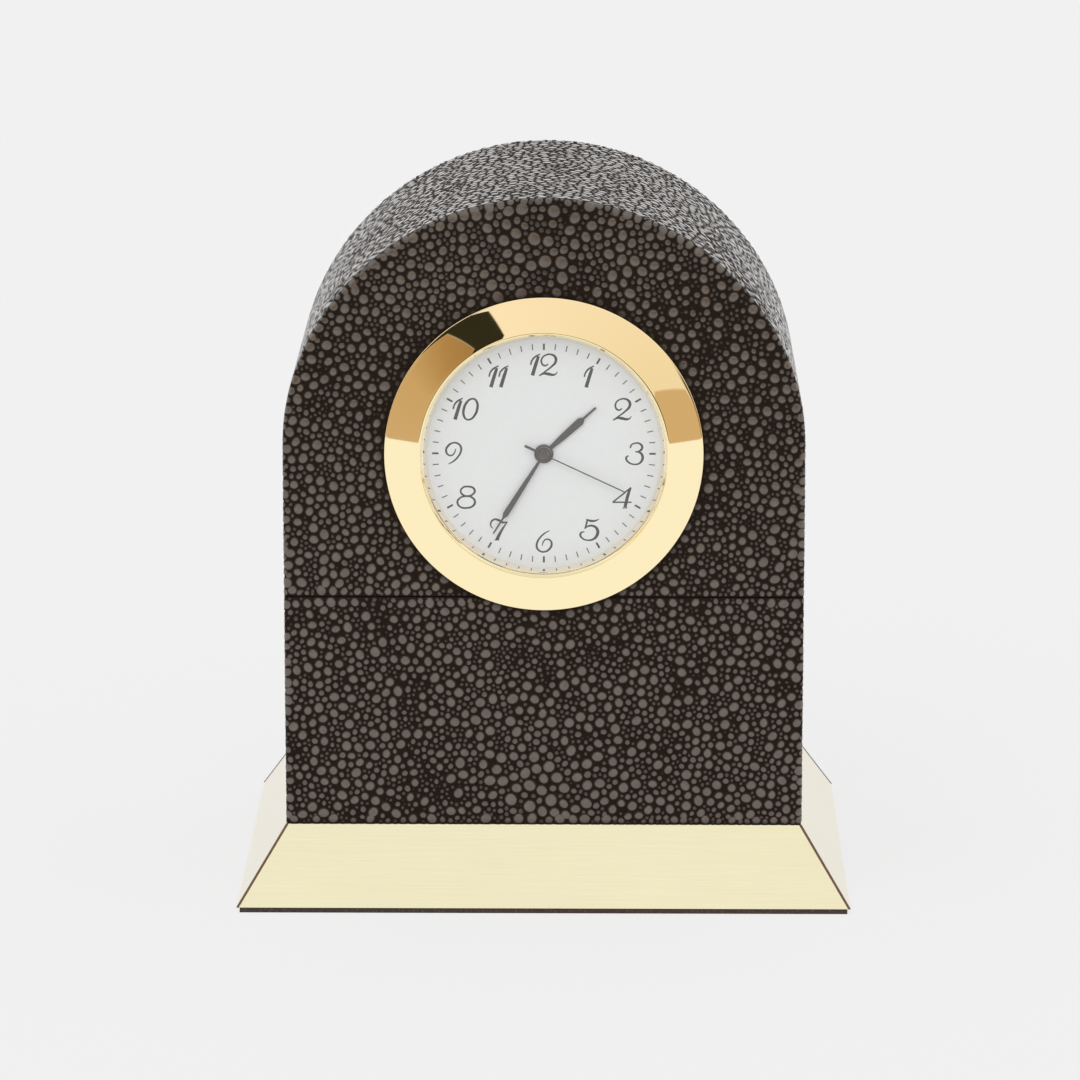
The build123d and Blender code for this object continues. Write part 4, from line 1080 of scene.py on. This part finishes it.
class CLOCK_OT_dial(bpy.types.Operator):
    """Lacquer the dial and print its minute marks and numerals"""

    bl_idname = "clock.dial"
    bl_label = "Dial and print"

    def execute(self, context):
        dial = context.scene.clock_dial
        wear(white_lacquer(dial), "dial")
        ink = pad_ink(dial)
        piece("dial_marks", self.marks(dial), "insert", ink)
        for hour in range(1, 13):
            self.numeral(dial, hour, ink)
        return {"FINISHED"}

    def marks(self, dial):
        """Sixty flat bars round the dial, every fifth one heavier."""
        bm = bmesh.new()
        for index in range(60):
            heavy = index % 5 == 0
            size = dial.hour_mark_length if heavy else dial.minute_mark_length
            width = dial.hour_mark_width if heavy else dial.minute_mark_width
            turn = Matrix.Rotation(math.radians(6 * index), 4, "Y")
            middle = Matrix.Translation((0, 0, dial.mark_radius - size / 2))
            bar = Matrix.Diagonal((width, dial.print_thickness, size, 1))
            at = Matrix.Translation((insert_axis.x, dial_front - dial.print_thickness / 2, insert_axis.z))
            bmesh.ops.create_cube(bm, size=1, matrix=at @ turn @ middle @ bar)
        return bm

    def numeral(self, dial, hour, ink):
        """One numeral: its strokes as round curves of changing width, pressed flat on the dial."""
        curve = bpy.data.curves.new("numeral", "CURVE")
        curve.dimensions = "3D"
        curve.bevel_depth = 0.5
        curve.bevel_resolution = 2
        curve.resolution_u = 6
        curve.use_fill_caps = True
        digits = str(hour)
        step = step_shares.get(digits, 0.0)
        for place, digit in enumerate(digits):
            for stroke in digit_strokes(digit):
                spline = curve.splines.new("BEZIER")
                spline.bezier_points.add(len(stroke) - 1)
                spline.use_cyclic_u = digit in closed_digits
                for point, (x, y, width) in zip(spline.bezier_points, stroke):
                    point.co = (x + place * step, y, 0)
                    point.radius = width * dial.numeral_weight
                    point.handle_left_type = point.handle_right_type = "AUTO"
        width = step * (len(digits) - 1) + width_shares[digits[-1]]
        angle = math.radians(30 * hour)
        middle = Vector((math.sin(angle), 0, math.cos(angle))) * dial.numeral_radius
        at = Vector((insert_axis.x, dial_front - dial.print_thickness / 2, insert_axis.z)) + middle
        size = dial.numeral_height
        flat = dial.print_thickness / flat_share
        centre = Matrix.Translation((-width / 2, -0.5, 0))
        stand = Matrix.Rotation(QUARTER, 4, "X")
        matrix = Matrix.Translation(at) @ stand @ Matrix.Diagonal((size, size, flat, 1)) @ centre
        shape = bpy.data.objects.new("numeral", curve)
        mesh = bpy.data.meshes.new_from_object(shape)
        bm = bmesh.new()
        bm.from_mesh(mesh)
        bmesh.ops.transform(bm, matrix=matrix, verts=bm.verts)
        bmesh.ops.remove_doubles(bm, verts=bm.verts, dist=0.0005 * MM)
        bmesh.ops.recalc_face_normals(bm, faces=bm.faces)
        piece("numeral_" + digits, bm, "insert", ink)
        bpy.data.objects.remove(shape)
        bpy.data.curves.remove(curve)
        bpy.data.meshes.remove(mesh)


class CLOCK_OT_hands(bpy.types.Operator):
    """Lacquer the three hands"""

    bl_idname = "clock.hands"
    bl_label = "Hands"

    def execute(self, context):
        wear(hand_lacquer(context.scene.clock_dial), "hour_hand", "minute_hand", "second_hand")
        return {"FINISHED"}


# Finishes: name, dark and pale shade, metallic, roughness, size of the grain in mm, its stretch, depth of
# the relief in mm, and the CAD nodes
screw_rows = (
    # Zinc plate: a bluish grey with faint cloudy patches
    ("zinc_plated_steel", "#A3A6A8", "#C2C3C0", 1.0, (0.28, 0.42), 0.8, (1, 1, 1), 0.002, ["case_screws"]),
)
housing_rows = (
    # Moulded ABS: black with a fine spark-eroded texture
    ("moulded_black_abs", "#17171A", "#222226", 0.0, (0.42, 0.58), 0.3, (1, 1, 1), 0.01,
     ["insert_case", "rear_cover", "battery_cap"]),
    # The knob is the same plastic from a polished mould
    ("polished_black_abs", "#1B1B1E", "#262629", 0.0, (0.28, 0.36), 0.6, (1, 1, 1), 0.003,
     ["setting_knob", "knob_shaft"]),
    # Nitrile rubber: matt, with a dusty bloom
    ("nitrile_rubber", "#121212", "#232322", 0.0, (0.75, 0.9), 0.5, (1, 1, 1), 0.008, ["grip_ring"]),
)
movement_rows = (
    # Glass-filled polycarbonate: ivory, with faint flow marks across the plate
    ("moulded_polycarbonate", "#D3CFC2", "#DDDACE", 0.0, (0.38, 0.5), 1.5, (3, 1, 1), 0.004,
     ["main_plate", "train_bridge"]),
    # Acetal: waxy white, smooth from the mould
    ("moulded_acetal", "#E6E4DA", "#EFEDE4", 0.0, (0.3, 0.38), 0.8, (1, 1, 1), 0.002,
     ["hour_wheel", "minute_works_wheel", "second_wheel", "third_wheel", "intermediate_wheel",
      "rotor_pinion"]),
    # Turned brass: yellow, with fine lines from the lathe
    ("turned_gear_brass", "#B58F45", "#D0AC5F", 1.0, (0.2, 0.32), 0.15, (6, 1, 6), 0.002,
     ["cannon_pinion", "centre_wheel"]),
    # Nickel plate: bright, with a faint yellow cast
    ("nickel_plated_steel", "#BDBDB8", "#D0CFC9", 1.0, (0.18, 0.3), 0.7, (1, 1, 1), 0.001,
     ["movement_screws"]),
)
motor_rows = (
    # Stamped soft iron: grey, rolled along the sheet
    ("stamped_soft_iron", "#7C7E81", "#96989A", 1.0, (0.32, 0.45), 0.2, (20, 1, 1), 0.003,
     ["stator", "coil_core"]),
    # Epoxy dropped over the chip: black and glossy, with a slow ripple
    ("potting_epoxy", "#0C0C0C", "#151515", 0.0, (0.08, 0.2), 1.0, (1, 1, 1), 0.02, ["chip"]),
    # Sintered ferrite: dark grey and slightly sandy
    ("sintered_ferrite", "#333338", "#4B4B50", 0.3, (0.45, 0.6), 0.15, (1, 1, 1), 0.008, ["rotor_magnet"]),
    # Drawn nickel cans: bright, with faint lines round them
    ("drawn_nickel_can", "#BFBDB6", "#D6D4CD", 1.0, (0.16, 0.3), 0.25, (1, 8, 1), 0.001,
     ["quartz_crystal", "battery"]),
    # Rolled spring steel: warm grey, with fine lines along the strip
    ("rolled_spring_steel", "#B4B1A8", "#CBC8BE", 1.0, (0.2, 0.34), 0.2, (12, 1, 1), 0.002,
     ["contact_plus", "contact_minus"]),
)


class CLOCK_OT_housing(bpy.types.Operator):
    """Finish the insert's moulded can, cover, knob and cap, and its rubber grip ring"""

    bl_idname = "clock.housing"
    bl_label = "Insert housing"

    def execute(self, context):
        finish(housing_rows)
        return {"FINISHED"}


class CLOCK_OT_movement(bpy.types.Operator):
    """Finish the movement's plates, screws and wheels"""

    bl_idname = "clock.movement"
    bl_label = "Movement"

    def execute(self, context):
        finish(movement_rows)
        return {"FINISHED"}


class CLOCK_OT_motor(bpy.types.Operator):
    """Finish the motor, its circuit, the battery and its contacts"""

    bl_idname = "clock.motor"
    bl_label = "Motor and battery"

    def execute(self, context):
        finish(motor_rows)
        wear(wound_copper(), "coil")
        wear(circuit_lacquer(), "circuit_board")
        return {"FINISHED"}


# Stage

# Share of the floor that the camera sees as plain background. The rest takes the shadow
plain_share = 0.88
floor_half = 3.0
white = (1.0, 1.0, 1.0, 1.0)


def pale_floor(stage):
    """Seamless paper: plain, pale and matt. It shows a soft shadow, and mirrors see it white."""
    material, tree, shader = start("seamless_paper")
    feed(tree, shader, {"Base Color": stage.background, "Roughness": 0.9, "Specular IOR Level": 0.0})
    plain = add(tree, "ShaderNodeEmission", {"Color": stage.background, "Strength": 1.0}).outputs[0]
    bright = add(tree, "ShaderNodeEmission", {"Color": white, "Strength": 1.0}).outputs[0]
    path = add(tree, "ShaderNodeLightPath")
    inputs = {0: path.outputs["Is Camera Ray"], 1: plain_share}
    share = add(tree, "ShaderNodeMath", inputs, operation="MULTIPLY").outputs[0]
    seen = add(tree, "ShaderNodeMixShader", {0: share, 1: shader.outputs[0], 2: plain}).outputs[0]
    inputs = {0: path.outputs["Is Glossy Ray"], 1: seen, 2: bright}
    mirrored = add(tree, "ShaderNodeMixShader", inputs).outputs[0]
    tree.links.new(mirrored, tree.nodes["Material Output"].inputs["Surface"])
    return material


def window(tree, value, low, high, soft):
    """1 where the value lies between two limits, with soft edges."""
    up = {"Value": value, "From Min": low - soft, "From Max": low + soft}
    down = {"Value": value, "From Min": high + soft, "From Max": high - soft}
    rise = add(tree, "ShaderNodeMapRange", up, interpolation_type="SMOOTHSTEP").outputs["Result"]
    fall = add(tree, "ShaderNodeMapRange", down, interpolation_type="SMOOTHSTEP").outputs["Result"]
    return add(tree, "ShaderNodeMath", {0: rise, 1: fall}, operation="MULTIPLY").outputs[0]


def over(tree, base, mask, top):
    """A colour laid over another by a mask."""
    inputs = {0: mask, 6: base, 7: top}
    return add(tree, "ShaderNodeMix", inputs, data_type="RGBA").outputs[2]


def room(world, stage):
    """World: plain background for the camera, even light, and a room that polished metal mirrors."""
    world.use_nodes = True
    tree = world.node_tree
    tree.nodes.clear()
    place = add(tree, "ShaderNodeTexCoord")
    parts = add(tree, "ShaderNodeSeparateXYZ", {0: place.outputs["Generated"]})
    ahead = add(tree, "ShaderNodeMath", {0: parts.outputs["Y"], 1: -1.0}, operation="MULTIPLY").outputs[0]
    safe = add(tree, "ShaderNodeMath", {0: ahead, 1: 0.02}, operation="MAXIMUM").outputs[0]
    # Right and up in front of the clock, as slopes from straight ahead
    right = add(tree, "ShaderNodeMath", {0: parts.outputs["X"], 1: safe}, operation="DIVIDE").outputs[0]
    up = add(tree, "ShaderNodeMath", {0: parts.outputs["Z"], 1: safe}, operation="DIVIDE").outputs[0]
    slant = add(tree, "ShaderNodeMath", {0: up, 1: -0.56, 2: right}, operation="MULTIPLY_ADD").outputs[0]
    height = spread(tree, up, 0.0, 1.0, -0.2, 0.3)
    width = spread(tree, right, 0.0, 1.0, -0.2, 0.4)
    wall = [(0.0, (1.0, 0.91, 0.85, 1)), (0.45, (0.96, 0.87, 0.79, 1)), (1.0, (0.9, 0.79, 0.65, 1))]
    shelf = [
        (0.0, (0.64, 0.46, 0.3, 1)), (0.4, (0.6, 0.42, 0.23, 1)),
        (0.62, (0.45, 0.27, 0.12, 1)), (0.85, (0.33, 0.2, 0.085, 1)),
    ]
    shade = [(0.33, (0.3, 0.15, 0.05, 1)), (0.42, (0.05, 0.04, 0.03, 1))]
    inputs = {0: window(tree, right, -0.06, 0.33, 0.02), 1: window(tree, up, -0.4, -0.03, 0.03)}
    dark = add(tree, "ShaderNodeMath", inputs, operation="MULTIPLY").outputs[0]
    view = ramp(tree, width, wall)
    # Laid over the wall: a tan curtain at the right, a shelf at the left, the dark gap beside it, a dark
    # chair, the ceiling, a pale green lamp overhead and the white table
    for mask, tint in (
        (window(tree, slant, 0.396, 30, 0.006), (0.66, 0.47, 0.29, 1)),
        (window(tree, right, -30, -0.27, 0.004), ramp(tree, height, shelf)),
        (window(tree, right, -0.27, -0.157, 0.003), (0.03, 0.028, 0.016, 1)),
        (dark, ramp(tree, width, shade)),
        (window(tree, up, 0.38, 1000, 0.05), (1, 0.99, 0.97, 1)),
        (window(tree, up, 3, 1000, 0.5), (0.8, 0.84, 0.8, 1)),
        (window(tree, up, -1000, -0.183, 0.004), white),
    ):
        view = over(tree, view, mask, tint)
    view = over(tree, white, window(tree, ahead, 0.05, 2, 0.03), view)
    path = add(tree, "ShaderNodeLightPath")
    glow = over(tree, (stage.room,) * 3 + (1.0,), path.outputs["Is Glossy Ray"], view)
    inputs = {0: path.outputs["Is Camera Ray"], 1: path.outputs["Is Transmission Ray"]}
    plain = add(tree, "ShaderNodeMath", inputs, operation="MAXIMUM").outputs[0]
    glow = over(tree, glow, plain, tuple(stage.background))
    light = add(tree, "ShaderNodeBackground", {"Color": glow, "Strength": 1.0})
    output = add(tree, "ShaderNodeOutputWorld", {"Surface": light.outputs[0]})
    output.is_active_output = True


class CLOCK_OT_stage(bpy.types.Operator):
    """Set the pale floor, the soft lamp, the room and the camera"""

    bl_idname = "clock.stage"
    bl_label = "Stage"

    def execute(self, context):
        stage = context.scene.clock_stage
        bm = bmesh.new()
        bmesh.ops.create_grid(bm, x_segments=1, y_segments=1, size=floor_half)
        bmesh.ops.translate(bm, verts=bm.verts, vec=(0, floor_half - stage.table_front, 0))
        mesh = bpy.data.meshes.new("floor")
        bm.to_mesh(mesh)
        bm.free()
        mesh.materials.append(pale_floor(stage))
        stand("floor", mesh)
        lamp = bpy.data.lights.new("soft_lamp", "SUN")
        lamp.energy = stage.lamp
        lamp.angle = math.radians(50)
        hung = stand("soft_lamp", lamp)
        hung.rotation_euler = (math.radians(38), 0, math.radians(-18))
        hung.visible_glossy = False
        world = bpy.data.worlds.new("room")
        context.scene.world = world
        room(world, stage)
        seen = bpy.data.cameras.new("camera")
        seen.lens = stage.lens
        seen.sensor_width = 36
        camera = stand("camera", seen)
        camera.location = (stage.side, -stage.distance, stage.height)
        camera.rotation_euler = (QUARTER - stage.pitch, 0, stage.yaw)
        context.scene.camera = camera
        context.scene.view_settings.view_transform = "Standard"
        return {"FINISHED"}


class CLOCK_PT_panel(bpy.types.Panel):
    """Sizes, colours and steps of the clock"""

    bl_label = "Beehive clock"
    bl_idname = "CLOCK_PT_panel"
    bl_space_type = "VIEW_3D"
    bl_region_type = "UI"
    bl_category = "Clock"

    def draw(self, context):
        for name, group in GROUPS.items():
            box = self.layout.box()
            box.label(text=group.__doc__)
            for field in group.__annotations__:
                box.prop(getattr(context.scene, name), field)
        for operator in OPERATORS:
            self.layout.operator(operator.bl_idname)


OPERATORS = (
    CLOCK_OT_stage,
    CLOCK_OT_block,
    CLOCK_OT_plates,
    CLOCK_OT_skin,
    CLOCK_OT_rings,
    CLOCK_OT_dial,
    CLOCK_OT_hands,
    CLOCK_OT_housing,
    CLOCK_OT_movement,
    CLOCK_OT_motor,
)


def register():
    for name, group in GROUPS.items():
        bpy.utils.register_class(group)
        setattr(bpy.types.Scene, name, PointerProperty(type=group))
    for operator in OPERATORS:
        bpy.utils.register_class(operator)
    bpy.utils.register_class(CLOCK_PT_panel)


def unregister():
    bpy.utils.unregister_class(CLOCK_PT_panel)
    for operator in reversed(OPERATORS):
        bpy.utils.unregister_class(operator)
    for name, group in GROUPS.items():
        delattr(bpy.types.Scene, name)
        bpy.utils.unregister_class(group)


def main():
    """Register the add-on and make every piece in order."""
    register()
    for operator in OPERATORS:
        family, step = operator.bl_idname.split(".")
        getattr(getattr(bpy.ops, family), step)()


if __name__ == "__main__":
    main()
